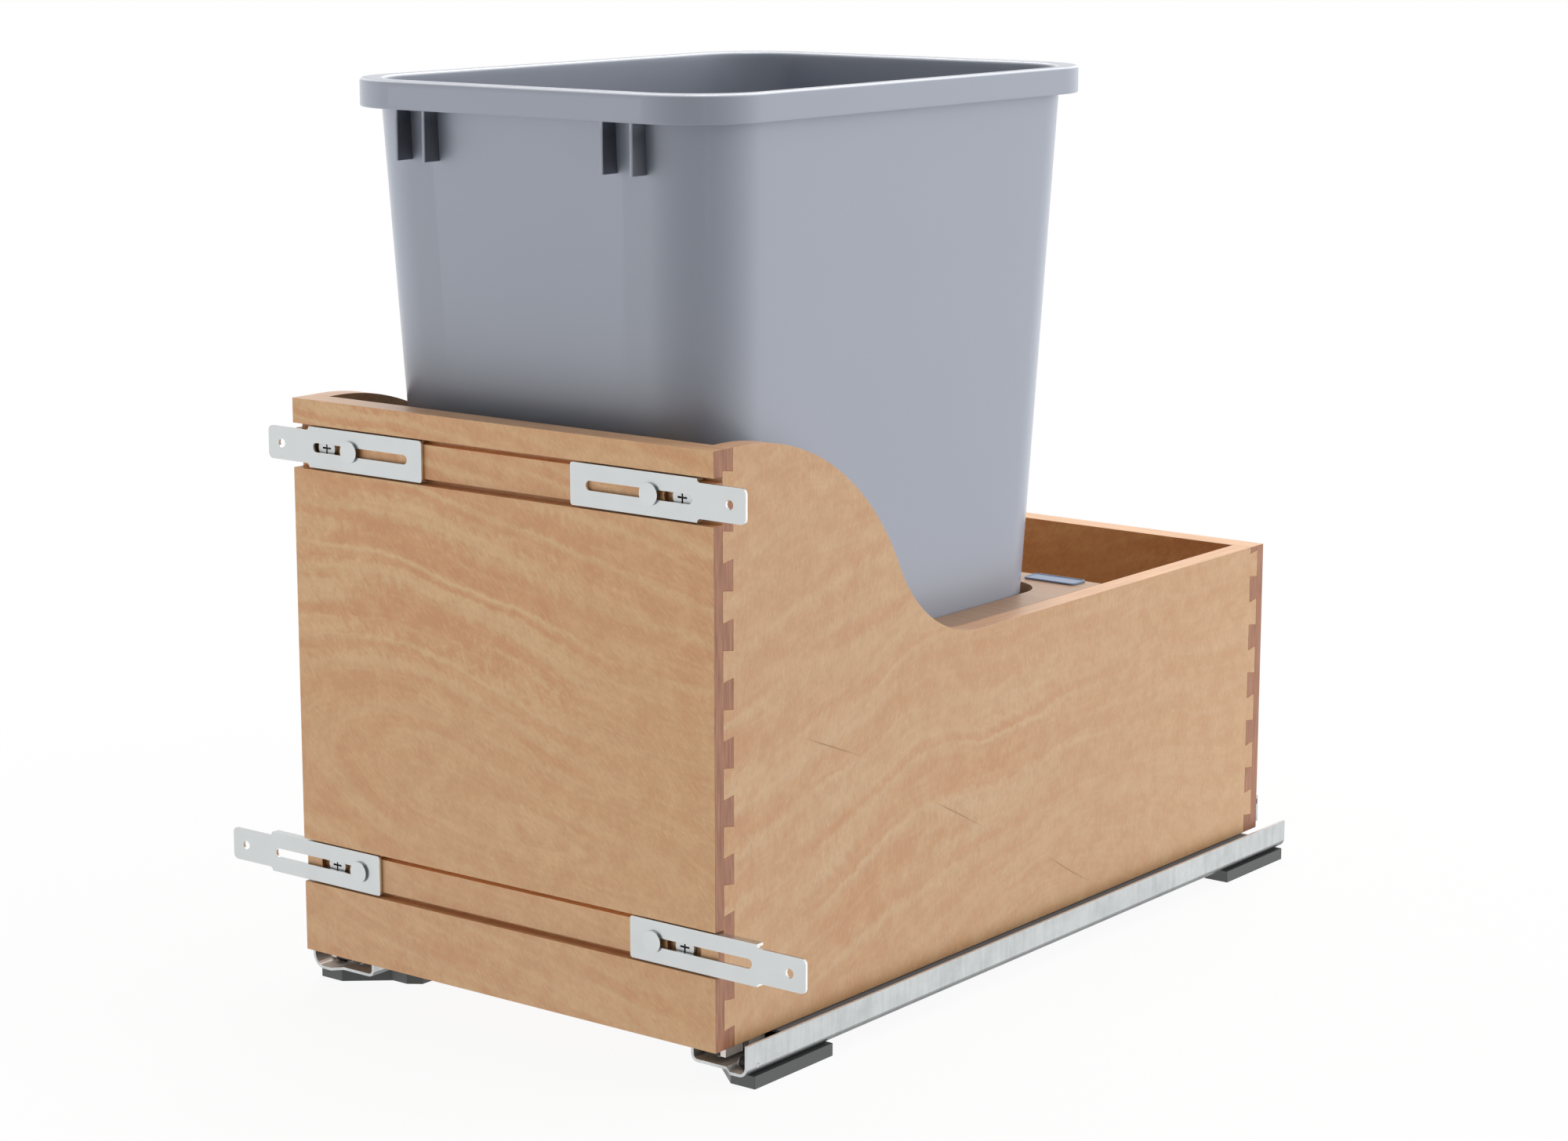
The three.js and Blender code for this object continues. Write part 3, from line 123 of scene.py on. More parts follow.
# Lamps: one overhead and a broad one high behind brighten the tops of the rim, boards and shelf. A
# small one at the right stands nearer the rear, so that the right-hand walls lighten that way; no
# mirror shows it.
LAMPS = {  # place, side of the square, watts
    "lamp_above": ((0.05, 0.1, 2.2), 0.5, 11),
    "lamp_behind": ((-0.85, 1.15, 1.9), 1.2, 16),
    "lamp_right": ((0.95, 0.95, 0.4), 0.5, 3),
}
LAMPS_AIM = Vector((0, 0, 0.4))
for name, (place, size, power) in LAMPS.items():
    lamp = bpy.data.lights.new(name, "AREA")
    lamp.shape, lamp.size, lamp.energy = "SQUARE", size, power
    stand = bpy.data.objects.new(name, lamp)
    stand.location = place
    stand.rotation_euler = (LAMPS_AIM - Vector(place)).to_track_quat("-Z", "Y").to_euler()
    stand.visible_glossy = name != "lamp_right"
    bpy.context.collection.objects.link(stand)

# Floor: a pale sheet that fades into the white dome away from the object and keeps its shadow. It
# lets the dome's lower half through to the object, as a lit table does.
FLOOR_REACH, FLOOR_GREY = 14.0, 0.9
FADE_FROM, FADE_TO, WHITE_NEAR = 0.3, 0.9, 0.93

floor_mesh = bpy.data.meshes.new("studio_floor")
corners = [(x * FLOOR_REACH, y * FLOOR_REACH, 0) for x, y in ((-1, -1), (1, -1), (1, 1), (-1, 1))]
floor_mesh.from_pydata(corners, [], [(0, 1, 2, 3)])
studio_floor = bpy.data.objects.new("studio_floor", floor_mesh)
bpy.context.collection.objects.link(studio_floor)
paper = bpy.data.materials.new("white_floor")
paper.use_nodes = True
table = paper.node_tree
table.nodes.clear()
matt = wire(table, "BsdfDiffuse", {"Color": (FLOOR_GREY, FLOOR_GREY, FLOOR_GREY, 1)})
white = wire(table, "Emission", {"Color": (1, 1, 1, 1), "Strength": 1.0})
spot = wire(table, "TexCoord").outputs["Object"]
away = wire(table, "VectorMath", {0: spot}, operation="LENGTH").outputs["Value"]
fade = wire(table, "MapRange", {0: away, 1: FADE_FROM, 2: FADE_TO, 3: WHITE_NEAR, 4: 1.0},
            interpolation_type="SMOOTHSTEP").outputs[0]
seen = wire(table, "MixShader", {0: fade, 1: matt.outputs[0], 2: white.outputs[0]})
ray = wire(table, "LightPath").outputs
let_through = reckon(table, "MAXIMUM", ray["Is Diffuse Ray"], ray["Is Shadow Ray"])
open_floor = wire(table, "BsdfTransparent")
both = wire(table, "MixShader", {0: let_through, 1: seen.outputs[0], 2: open_floor.outputs[0]})
wire(table, "OutputMaterial", {"Surface": both.outputs[0]})
floor_mesh.materials.append(paper)

# ------------------------------------------------------------------------------------------------
# Floor blocks: four dark moulded plastic feet under the runners, each with an ear towards the
# middle and a hole for the screw that holds it to the cabinet floor.

SIDES, ENDS = ("right", "left"), ("front", "rear")
WELD_REACH, SHARP_ANGLE, EDGE_STEPS = 0.000002, np.radians(35), 2


def finish(name, colour, **values):
    """A finish: its material, node tree, Principled shader and object coordinates."""
    made = bpy.data.materials.new(name)
    made.use_nodes = True
    tree = made.node_tree
    shader = tree.nodes["Principled BSDF"]
    shader.inputs["Base Color"].default_value = (*colour, 1)
    for key, value in values.items():
        shader.inputs[key.replace("_", " ")].default_value = value
    return made, tree, shader, wire(tree, "TexCoord").outputs["Object"]


def shade(*srgb):
    """Linear colour of an sRGB one given from 0 to 255."""
    value = np.array(srgb) / 255
    linear = np.where(value < 0.04045, value / 12.92, ((value + 0.055) / 1.055) ** 2.4)
    return tuple(linear.tolist())


def toned(colour, *shares):
    """Colour times a share, one for the whole or one for each channel, and never over 1."""
    return tuple(min(1, c * share) for c, share in zip(colour, shares * (3 // len(shares))))


def grain_of(tree, place, scale, detail=3.0, finer=(1, 1, 1), turn=(0, 0, 0), roughness=0.5):
    """Noise per metre, from 0 to 1: the object's axes are turned first, then made finer each."""
    spot = wire(tree, "Mapping", {"Vector": place, "Rotation": turn,
                                  "Scale": tuple(1 / f for f in finer)}, vector_type="TEXTURE")
    return wire(tree, "TexNoise", {"Vector": spot.outputs[0], "Scale": scale, "Detail": detail,
                                   "Roughness": roughness}).outputs["Fac"]


def between(tree, fac, low, high, start=0.0, end=1.0):
    """Maps fac from start..end to low..high, a plain number."""
    return wire(tree, "MapRange", {0: fac, 1: start, 2: end, 3: low, 4: high}).outputs[0]


def tint(tree, fac, one, two, blend="MIX"):
    """Colour between one and two by fac; each is a colour or an output."""
    mixed = wire(tree, "Mix", data_type="RGBA", blend_type=blend)
    for key, value in ((0, fac), (6, one), (7, two)):
        if isinstance(value, bpy.types.NodeSocket):
            tree.links.new(value, mixed.inputs[key])
        else:
            mixed.inputs[key].default_value = (*value, 1) if key else value
    return mixed.outputs[2]


def relief(tree, shader, height, distance, strength=1.0):
    """Bump from a height output, its full range standing for distance metres."""
    bump = wire(tree, "Bump", {"Height": height, "Distance": distance, "Strength": strength})
    tree.links.new(bump.outputs[0], shader.inputs["Normal"])


def facing(tree, axis):
    """How far the surface looks along one axis of the object, from -1 to 1."""
    normal = wire(tree, "TexCoord").outputs["Normal"]
    return wire(tree, "SeparateXYZ", {0: normal}).outputs[axis]


def moulded_plastic(name, colour, roughness, mottle=0.06, pitch=900.0, gloss=0.5, painted_highlight=None,
                    shaded_flanks=None):
    """Moulded plastic: a faint mottle in the colour, a fine spark-eroded texture and uneven gloss.
    Its rounded upper edges, where the surface looks up at a slant, take a paler colour as a
    painted highlight. The last argument is a middle along Y, a distance from it, a height and a
    colour: the faces that look along X take that colour as painted shade where they are further
    out and lower."""
    made, tree, shader, place = finish(name, colour, Specular_IOR_Level=gloss)
    cloud = grain_of(tree, place, 18, 4)
    body = tint(tree, cloud, toned(colour, 1 - mottle), toned(colour, 1 + mottle))
    # Painted highlight: rounds that look up at a slant are paled towards the given colour.
    if painted_highlight:
        upward = facing(tree, "Z")
        highlight_mask = reckon(tree, "MULTIPLY", between(tree, upward, 0, 0.85, 0.35, 0.75),
                        between(tree, upward, 1, 0, 0.9, 0.985))
        body = tint(tree, highlight_mask, body, painted_highlight)
    # Painted shade: faces that look along X, further out and lower than given, turn dark.
    if shaded_flanks:
        middle, distance, height, flank_shade = shaded_flanks
        spot = wire(tree, "SeparateXYZ", {0: place}).outputs
        out = reckon(tree, "ABSOLUTE", reckon(tree, "SUBTRACT", spot["Y"], middle))
        sideways = between(tree, reckon(tree, "ABSOLUTE", facing(tree, "X")), 0, 1, 0.8, 0.95)
        painted_flank_shade = reckon(tree, "MULTIPLY", sideways, reckon(tree, "GREATER_THAN", out, distance),
                       reckon(tree, "LESS_THAN", spot["Z"], height))
        body = tint(tree, painted_flank_shade, body, flank_shade)
    tree.links.new(body, shader.inputs["Base Color"])
    uneven_gloss = between(tree, cloud, roughness * 0.85, roughness * 1.2)
    tree.links.new(uneven_gloss, shader.inputs["Roughness"])
    relief(tree, shader, grain_of(tree, place, pitch, 2), distance=0.00004)
    return made


def each_side(*names):
    """The right and the left node of each name."""
    return [f"{name}_{side}" for name in names for side in SIDES]


def dress(names, material, edge):
    """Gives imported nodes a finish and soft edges; the node's loose triangles are welded first."""
    for name in names:
        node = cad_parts[name]
        for k in range(len(node.material_slots)):
            node.material_slots[k].link = "OBJECT"
            node.material_slots[k].material = material
        weld = node.modifiers.new("weld", "WELD")
        weld.merge_threshold = WELD_REACH
        bevel = node.modifiers.new("edge", "BEVEL")
        bevel.width, bevel.segments = edge, EDGE_STEPS
        bevel.limit_method, bevel.angle_limit = "ANGLE", SHARP_ANGLE


block_plastic = moulded_plastic("block_plastic", shade(74, 77, 75), roughness=0.42)
dress(each_side(*[f"floor_block_{end}" for end in ENDS]), block_plastic, edge=0.0003)

# ------------------------------------------------------------------------------------------------
# Cabinet channels: roll-formed galvanised sheet 1.6 mm thick, screwed to the floor blocks. The
# zinc shows as small soft blotches with fine streaks across the rolled length; faces that turn
# down are darkened as painted shade, and faces that look up are paler as painted light.


def galvanised_sheet(name, colour, top_light_colour, roughness=0.34, metal=0.75, top_light_metal=0.15):
    """Zinc-coated sheet: fine upright streaks and small blotches in colour and gloss. Faces turned
    down are darker, as painted shade, and faces that look up paler, as painted light, by the
    surface's own direction."""
    made, tree, shader, place = finish(name, colour)
    streak = grain_of(tree, place, 130, 4, finer=(2, 2, 0.25), roughness=0.6)
    blotch = grain_of(tree, place, 75, 4, finer=(1, 0.6, 1), roughness=0.65)
    mottle = between(tree, reckon(tree, "ADD", streak, blotch), 0, 1, 0.75, 1.25)
    upward = facing(tree, "Z")
    # Painted shade: faces that turn down are darkened.
    under = between(tree, upward, 0, 1, -0.1, -0.4)
    # Painted light: faces that look up are paler, warmer and less metallic.
    top_light_mask = between(tree, upward, 0, 0.8, 0.6, 0.8)
    body = tint(tree, mottle, toned(colour, 0.89), toned(colour, 1.08))
    body = tint(tree, under, body, toned(colour, 0.27))
    tree.links.new(tint(tree, top_light_mask, body, top_light_colour), shader.inputs["Base Color"])
    tree.links.new(between(tree, top_light_mask, metal, top_light_metal), shader.inputs["Metallic"])
    uneven_gloss = between(tree, mottle, roughness * 1.3, roughness * 0.8)
    tree.links.new(uneven_gloss, shader.inputs["Roughness"])
    relief(tree, shader, streak, distance=0.00001, strength=0.4)
    return made


# The pale warm second colour is painted light on the faces that look up.
galvanised = galvanised_sheet("galvanised", shade(196, 200, 200), top_light_colour=shade(226, 214, 206))
dress(each_side("cabinet_channel"), galvanised, edge=0.00025)

# ------------------------------------------------------------------------------------------------
# Rails and rollers: on each side a pale zinc rail under the box, made paler and less metallic
# partly as painted reflected light, and a rail between it and the channel, its steel darkened as
# painted shade; roller carriages in dark plastic, and a nylon roller on a steel pin at the front.


def bright_steel(name, colour, roughness=0.3, metal=0.7, edges=None, recess=None):
    """Plated or dark steel: nearly plain, with a soft unevenness of the colour and the gloss. Faces
    that look along X take the colour edges: paler as a painted highlight on the brackets, darker
    as painted shade on the studs. Within recess, a box given by its middle and its half sizes,
    the steel is darkened as painted shade."""
    made, tree, shader, place = finish(name, colour, Metallic=metal)
    cloud = grain_of(tree, place, 60, 4)
    body = tint(tree, cloud, toned(colour, 0.94), toned(colour, 1.05))
    # Faces that look along X take the given colour: a painted highlight when paler, painted shade
    # when darker.
    if edges:
        sideways = between(tree, reckon(tree, "ABSOLUTE", facing(tree, "X")), 0, 1, 0.45, 0.7)
        body = tint(tree, sideways, body, edges)
    # Painted shade: inside the recess box the steel is darkened almost to black.
    if recess:
        middle, half = recess
        offset = wire(tree, "VectorMath", {0: place, 1: middle}, operation="SUBTRACT").outputs[0]
        offset = wire(tree, "VectorMath", {0: offset}, operation="ABSOLUTE").outputs[0]
        share = wire(tree, "VectorMath", {0: offset, 1: half}, operation="DIVIDE").outputs[0]
        share = wire(tree, "SeparateXYZ", {0: share}).outputs
        far = reckon(tree, "MAXIMUM", share[0], share[1], share[2])
        body = tint(tree, between(tree, far, 1, 0, 0.9, 1.0), body, toned(colour, 0.06))
    tree.links.new(body, shader.inputs["Base Color"])
    uneven_gloss = between(tree, cloud, roughness * 1.2, roughness * 0.85)
    tree.links.new(uneven_gloss, shader.inputs["Roughness"])
    relief(tree, shader, grain_of(tree, place, 300, 2), distance=0.000004, strength=0.5)
    return made


dark_nylon = moulded_plastic("dark_nylon", shade(44, 41, 40), roughness=0.45, gloss=0.3)
# The drawer rail's zinc is paler and less metallic than the channel's, partly as painted reflected
# light.
pale_zinc = bright_steel("pale_zinc", shade(216, 211, 206), roughness=0.45, metal=0.25)
# The middle rail's steel is dark grey as painted shade.
shaded_rail_steel = bright_steel("shaded_rail_steel", shade(97, 101, 106), roughness=0.6, metal=0.0)
plated_screw = bright_steel("plated_screw", shade(196, 198, 200), roughness=0.28)
dress(each_side("lower_carriage", "upper_carriage", "front_roller", "rail_end_cap"), dark_nylon,
      edge=0.0002)
dress(each_side("drawer_rail"), pale_zinc, edge=0.0002)
dress(each_side("mid_rail"), shaded_rail_steel, edge=0.0002)
dress(each_side("roller_pin", *[f"block_screw_{end}" for end in ENDS]), plated_screw, edge=0.0001)

# ------------------------------------------------------------------------------------------------
# Soft-close units: an open trough of dark plastic beside each channel, with a steel cylinder, its
# rod and a plastic catch.

catch_plastic = moulded_plastic("catch_plastic", shade(150, 152, 154), roughness=0.4)
dress(each_side("damper_housing"), dark_nylon, edge=0.0002)
dress(each_side("damper_cylinder"), plated_screw, edge=0.0002)
dress(each_side("damper_catch"), catch_plastic, edge=0.0002)

# ------------------------------------------------------------------------------------------------
# Wooden box: satin-lacquered ply boards with a rotary-cut birch face. Growth rings cross each board
# as wide wandering bands with ragged edges; the front and back boards show their end grain at the
# sides, in the dovetails, and every top edge shows the fine lines of the plies.


def along(tree, fac, stops):
    """Colour along a scale, from (place, colour) stops in order."""
    made = wire(tree, "ValToRGB", {0: fac})
    scale = made.color_ramp.elements
    scale[0].position, scale[1].position = stops[0][0], stops[-1][0]
    for position, _ in stops[1:-1]:
        scale.new(position)
    for stop, (position, colour) in zip(scale, stops):
        stop.color = (*colour, 1)
    return made.outputs[0]


def on_line(tree, p, q, origin, angle):
    """Places along and across a line on the board, through origin and rising at angle, in radians:
    the offsets from origin, turned back by the angle."""
    p0, q0 = reckon(tree, "SUBTRACT", p, origin[0]), reckon(tree, "SUBTRACT", q, origin[1])
    cosine, sine = np.cos(angle), np.sin(angle)
    run = reckon(tree, "ADD", reckon(tree, "MULTIPLY", p0, cosine),
                 reckon(tree, "MULTIPLY", q0, sine))
    off = reckon(tree, "SUBTRACT", reckon(tree, "MULTIPLY", q0, cosine),
                 reckon(tree, "MULTIPLY", p0, sine))
    return run, off


def scar_line(tree, p, q, start, end, waver):
    """Share of a thin wavering scar between two places: 0.6 at its middle, less towards its ends
    and its sides, and 0 off it."""
    along_p, along_q = end[0] - start[0], end[1] - start[1]
    length = np.hypot(along_p, along_q)
    run, off = on_line(tree, p, q, start, np.arctan2(along_q, along_p))
    off = reckon(tree, "ABSOLUTE", reckon(tree, "ADD", off, waver))
    return reckon(tree, "MULTIPLY", between(tree, run, 0, 1, 0, length * 0.3),
                  between(tree, run, 1, 0, length * 0.6, length),
                  between(tree, off, 0.6, 0, 0.0001, 0.0006))


def veneer(name, plane, light, dark, edge, centre, squash, tilt, rings, fibre_turn, seed,
           plain=None, scars=(), end_grain=None, painted_bounce_tint=None):
    """Birch face of a board lying in X or Y and Z. Growth rings are steps of the distance from the
    figure's centre, in a frame tilted and flattened by squash, and warped by slow noise; near the
    centre fine ripples follow them. The figure fades out over plain, two places along the board.
    Short fibres lie at fibre_turn degrees, waved, among clouds. Each scar runs between two places.
    Faces that look up show the plies' edges in the edge colour, partly their own tone and partly
    painted light on the tops; faces that look along X show the end grain, and the colour of those
    that look to the front is multiplied by the tint given for them, a painted warm bounce light."""
    made, tree, shader, place = finish(name, light, Specular_IOR_Level=0.45)
    axes = wire(tree, "SeparateXYZ", {0: place}).outputs
    p, q = axes["XY".index(plane)], axes["Z"]
    face = wire(tree, "CombineXYZ", {0: p, 1: q, 2: seed}).outputs[0]
    wander = reckon(tree, "ADD", p, between(tree, grain_of(tree, face, 9, 2), -0.02, 0.02))
    waved = wire(tree, "CombineXYZ", {0: wander, 1: q, 2: seed}).outputs[0]
    turn = (0, 0, np.radians(fibre_turn))
    pale, plain_face = toned(light, 1.08), tuple((a + b) / 2 for a, b in zip(light, dark))

    # Distance from the figure's centre, warped at arm's length and again at a finger's width.
    u, v = on_line(tree, p, q, centre, np.radians(tilt))
    flat = wire(tree, "CombineXYZ", {0: u, 1: reckon(tree, "MULTIPLY", v, squash)}).outputs[0]
    ring = wire(tree, "VectorMath", {0: flat}, operation="LENGTH").outputs["Value"]
    slow = between(tree, grain_of(tree, face, 6, 1), -0.09, 0.09)
    quick = between(tree, grain_of(tree, face, 34, 3), -0.012, 0.012)
    ring = reckon(tree, "ADD", ring, slow, quick)

    # Rings of uneven width with ragged edges, in strong and in weak patches.
    layer = wire(tree, "CombineXYZ", {0: reckon(tree, "MULTIPLY", p, 0.25),
                                      1: reckon(tree, "MULTIPLY", q, 0.25), 2: ring}).outputs[0]
    uneven = wire(tree, "TexNoise", {"Vector": layer, "Scale": 12.0, "Detail": 1.0}).outputs["Fac"]
    ragged = grain_of(tree, waved, 110, 4, (1, 2, 1), turn, roughness=0.65)
    growth = reckon(tree, "FRACT", reckon(
        tree, "ADD", reckon(tree, "MULTIPLY", ring, rings), between(tree, uneven, -1.4, 1.4),
        between(tree, ragged, -0.45, 0.45)))
    strength = reckon(tree, "MULTIPLY",
                      between(tree, grain_of(tree, face, 8, 1), 0.15, 0.85, 0.38, 0.66),
                      between(tree, ring, 0.4, 1, 0.1, 0.35))
    if plain:
        strength = reckon(tree, "MULTIPLY", strength, between(tree, p, 1, 0.25, *plain))
    body = along(tree, growth, [(0.0, dark), (0.14, toned(dark, 0.98, 0.92, 0.86)), (0.4, dark),
                                (0.62, light), (0.8, pale), (1.0, dark)])
    body = tint(tree, strength, plain_face, body)

    # Narrow dark and pale bands along the rings, and broken ripples near their centre.
    bands = wire(tree, "TexNoise", {"Vector": layer, "Scale": 60.0, "Detail": 5.0,
                                    "Roughness": 0.6}).outputs["Fac"]
    body = tint(tree, between(tree, bands, 0.4, 0, 0.3, 0.55), body, dark)
    body = tint(tree, between(tree, bands, 0, 0.4, 0.5, 0.7), body, pale)
    wave = reckon(tree, "SINE", reckon(tree, "MULTIPLY", ring, 520))
    patch = between(tree, grain_of(tree, face, 55, 2), 0, 1, 0.45, 0.65)
    ripple = reckon(tree, "MULTIPLY", between(tree, wave, 0, 1, -1, 1),
                    reckon(tree, "MULTIPLY", between(tree, ring, 0.16, 0, 0.05, 0.3), patch))
    body = tint(tree, ripple, body, toned(light, 1.3))

    # Clouds in the lacquered face, short fibres, the finest pores, and the scars.
    cloud = grain_of(tree, waved, 70, 4, roughness=0.62)
    body = tint(tree, between(tree, cloud, 0, 0.4, 0.45, 0.75), body, toned(light, 1.2))
    body = tint(tree, between(tree, cloud, 0.3, 0, 0.28, 0.48), body, toned(dark, 0.95, 0.85, 0.8))
    fibre = grain_of(tree, waved, 210, 3, (1, 3.2, 1), turn, roughness=0.6)
    body = tint(tree, between(tree, fibre, 0.22, 0, 0.28, 0.5), body, toned(dark, 0.72))
    body = tint(tree, between(tree, fibre, 0, 0.28, 0.52, 0.75), body, toned(light, 1.3))
    pores = grain_of(tree, waved, 520, 2, (1, 2.5, 1), turn)
    body = tint(tree, between(tree, pores, 0.16, 0, 0.3, 0.5), body, toned(dark, 0.7))
    for start, end in scars:
        waver = between(tree, quick, -0.001, 0.001, -0.012, 0.012)
        line = scar_line(tree, p, q, start, end, waver)
        body = tint(tree, line, body, toned(dark, 0.42, 0.4, 0.25))

    # Sawn edges by the way they face: tops take the edge colour, partly the plies' own tone and
    # partly painted top light. The tint for the face that looks to the front is painted bounce
    # light.
    upward = facing(tree, "Z")
    plies = grain_of(tree, place, 420, 3, (0.06, 1, 1) if plane == "X" else (1, 0.06, 1))
    top = tint(tree, between(tree, plies, 0, 1, 0.35, 0.65), toned(edge, 0.86, 0.8, 0.76), edge)
    body = tint(tree, between(tree, upward, 0, 1, 0.7, 0.75), body, top)
    if end_grain:
        vessels = grain_of(tree, place, 620, 3, (1, 1, 0.08))
        cut = tint(tree, between(tree, vessels, 0, 1, 0.3, 0.7), *end_grain)
        sideways = between(tree, reckon(tree, "ABSOLUTE", facing(tree, "X")), 0, 1, 0.7, 0.72)
        body = tint(tree, sideways, body, cut)
    # Painted light: faces that look to the front take a warmer tint, a painted bounce light.
    if painted_bounce_tint:
        forward = between(tree, facing(tree, "Y"), 1, 0, -0.8, -0.7)
        body = tint(tree, forward, body, tint(tree, 1.0, body, painted_bounce_tint, "MULTIPLY"))
    tree.links.new(body, shader.inputs["Base Color"])
    satin = reckon(tree, "MULTIPLY", between(tree, bands, 0.46, 0.38),
                   between(tree, upward, 1, 0.8, 0.7, 0.75))
    tree.links.new(satin, shader.inputs["Roughness"])
    relief(tree, shader, fibre, distance=0.00003, strength=0.5)
    return made


END_GRAIN = shade(141, 89, 63), shade(169, 117, 86)
# In each veneer, the edge colour is partly the plies' own tone and partly painted light on the
# tops.
front_birch = veneer(
    "front_birch", "X", light=shade(206, 165, 116), dark=shade(200, 141, 86),
    edge=shade(238, 188, 140), centre=(0.03, 0.115), squash=4.0, tilt=-9, rings=12.0,
    fibre_turn=-50, seed=2.3, end_grain=END_GRAIN)
side_birch = veneer(
    "side_birch", "Y", light=shade(193, 159, 120), dark=shade(190, 141, 97),
    edge=shade(238, 186, 140), centre=(0.02, 0.005), squash=3.2, tilt=5, rings=11.0,
    fibre_turn=80, seed=3.7, plain=(-0.02, 0.12), scars=(
        ((-0.2034, 0.1708), (-0.1536, 0.1508)),
        ((-0.0899, 0.1134), (-0.0395, 0.0875)),
        ((0.0244, 0.0559), (0.0686, 0.0317))))
# The back board's face that looks to the front is warmed as painted bounce light.
back_birch = veneer(
    "back_birch", "X", light=shade(208, 164, 115), dark=shade(198, 140, 91),
    edge=shade(240, 190, 144), centre=(0.1, 0.0), squash=3.4, tilt=8, rings=10.0,
    fibre_turn=50, seed=5.1, end_grain=END_GRAIN, painted_bounce_tint=(1.3, 1.1, 0.84))
shelf_birch = veneer(
    "shelf_birch", "X", light=shade(195, 158, 121), dark=shade(185, 138, 99),
    edge=shade(189, 149, 113), centre=(0.3, 0.1), squash=1.0, tilt=0, rings=30.0,
    fibre_turn=5, seed=7.3, end_grain=END_GRAIN)
dress(["front_board"], front_birch, edge=0.0003)
dress(["back_board"], back_birch, edge=0.0003)
dress(each_side("side_board"), side_birch, edge=0.0003)
dress(["bin_shelf", "bottom_panel"], shelf_birch, edge=0.0003)

# ------------------------------------------------------------------------------------------------
# Clips, levers and hook plates: the moulded clips and their levers lock the box's front end to its
# runners, and zinc-plated plates hold its back. Screws fix both to the boards.

dress(each_side("locking_clip", "clip_lever"), catch_plastic, edge=0.0002)
dress(each_side("clip_screw", "hook_screw"), plated_screw, edge=0.0001)
dress(each_side("hook_plate"), plated_screw, edge=0.0002)

# ------------------------------------------------------------------------------------------------
# Waste bin: injection-moulded grey polypropylene, satin gloss. The walls taper, a skirt hangs from
# the rolled rim, and thin ribs under the skirt stiffen the short sides.

BIN_TOP, BIN_FLOOR = 0.496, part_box("waste_bin")[0].z
BIN_BEHIND_FRONT, ORIGIN_BEHIND_FRONT = 0.193, 0.27615  # behind the front board's face
BIN_X, BIN_Y = 0.0006, BIN_BEHIND_FRONT - ORIGIN_BEHIND_FRONT
RIM_HALF_X, RIM_HALF_Y, RIM_CORNER = 0.1283, 0.1779, 0.0427
RIM_SKIRT, RIM_ROUND, RIM_SHEET = 0.0147, 0.0018, 0.0024
SKIRT_WALL, SKIRT_LIP, SKIRT_FOOT = 0.0022, 0.0005, BIN_TOP - RIM_SKIRT
BODY_HALF_X, BODY_HALF_Y, BODY_CORNER = RIM_HALF_X - 0.0071, RIM_HALF_Y - 0.0106, 0.04
BIN_TAPER, BIN_WALL, BIN_FOOT_ROUND = 0.0455, 0.0026, 0.008
MOUTH_ROUND, MOUTH_DEPTH, RIM_ROOT = 0.0022, 0.004, 0.0014
SKIRT_FLAT_INSIDE, SKIRT_FLAT_OUTSIDE, RIM_FLAT = 0.003, 0.002, 0.0012  # from a foot or a round


def rounded_ring(half_x, half_y, corner, height, turns=20, straight=10):
    """Rounded rectangle at one height: four quarter circles joined by divided straight sides."""
    angle = np.linspace(0, np.pi / 2, turns + 1)
    arcs = []
    for quarter, (sx, sy) in enumerate(((1, -1), (1, 1), (-1, 1), (-1, -1))):
        turn = angle - np.pi / 2 + quarter * np.pi / 2
        arcs.append(np.stack([sx * (half_x - corner) + corner * np.cos(turn),
                              sy * (half_y - corner) + corner * np.sin(turn)], 1))
    pieces = []
    for arc, following in zip(arcs, arcs[1:] + arcs[:1]):
        share = np.linspace(0, 1, straight + 1)[1:-1, None]
        pieces += [arc, arc[-1] * (1 - share) + following[0] * share]
    flat = np.concatenate(pieces)
    return np.column_stack([flat[:, 0] + BIN_X, flat[:, 1] + BIN_Y, np.full(len(flat), height)])


def skin(rings):
    """Quads between rings of equal size, in order, with a fan from a middle point on each end."""
    rows, size = len(rings), len(rings[0])
    points = np.concatenate([*rings, [rings[0].mean(0)], [rings[-1].mean(0)]])
    r, k = np.meshgrid(np.arange(rows - 1), np.arange(size), indexing="ij")
    after = (k + 1) % size
    here, beside = r * size + k, r * size + after
    quads = np.stack([here, beside, beside + size, here + size], -1)
    k = np.arange(size)
    after, last_row = (k + 1) % size, (rows - 1) * size
    first = np.stack([after, k, np.full(size, rows * size)], -1)
    last = np.stack([last_row + k, last_row + after, np.full(size, rows * size + 1)], -1)
    return points, quads.reshape(-1, 4).tolist() + first.tolist() + last.tolist()


def piece(name, parts, material, smooth=True):
    """One object at the origin from (points, faces) parts, with its finish."""
    points, faces, start = [], [], 0
    for part_points, part_faces in parts:
        points.append(part_points)
        faces += [tuple(index + start for index in face) for face in part_faces]
        start += len(part_points)
    mesh = bpy.data.meshes.new(name)
    mesh.from_pydata(np.concatenate(points).tolist(), [], faces)
    mesh.polygons.foreach_set("use_smooth", np.full(len(mesh.polygons), smooth))
    mesh.materials.append(material)
    mesh.update()
    made = bpy.data.objects.new(name, mesh)
    bpy.context.collection.objects.link(made)
    return made


def quarter_round(start, end, turns):
    """Offsets (out, up) of a quarter circle from start degrees to end degrees, of radius 1."""
    angle = np.radians(np.linspace(start, end, turns + 1))
    return np.stack([np.cos(angle), np.sin(angle)], 1)


def body_ring(height, inset):
    """Ring of the tapering body: narrower by the taper times the depth under the skirt's foot."""
    drawn_in = BIN_TAPER * (SKIRT_FOOT - height) + inset
    return rounded_ring(BODY_HALF_X - drawn_in, BODY_HALF_Y - drawn_in, BODY_CORNER - inset, height)


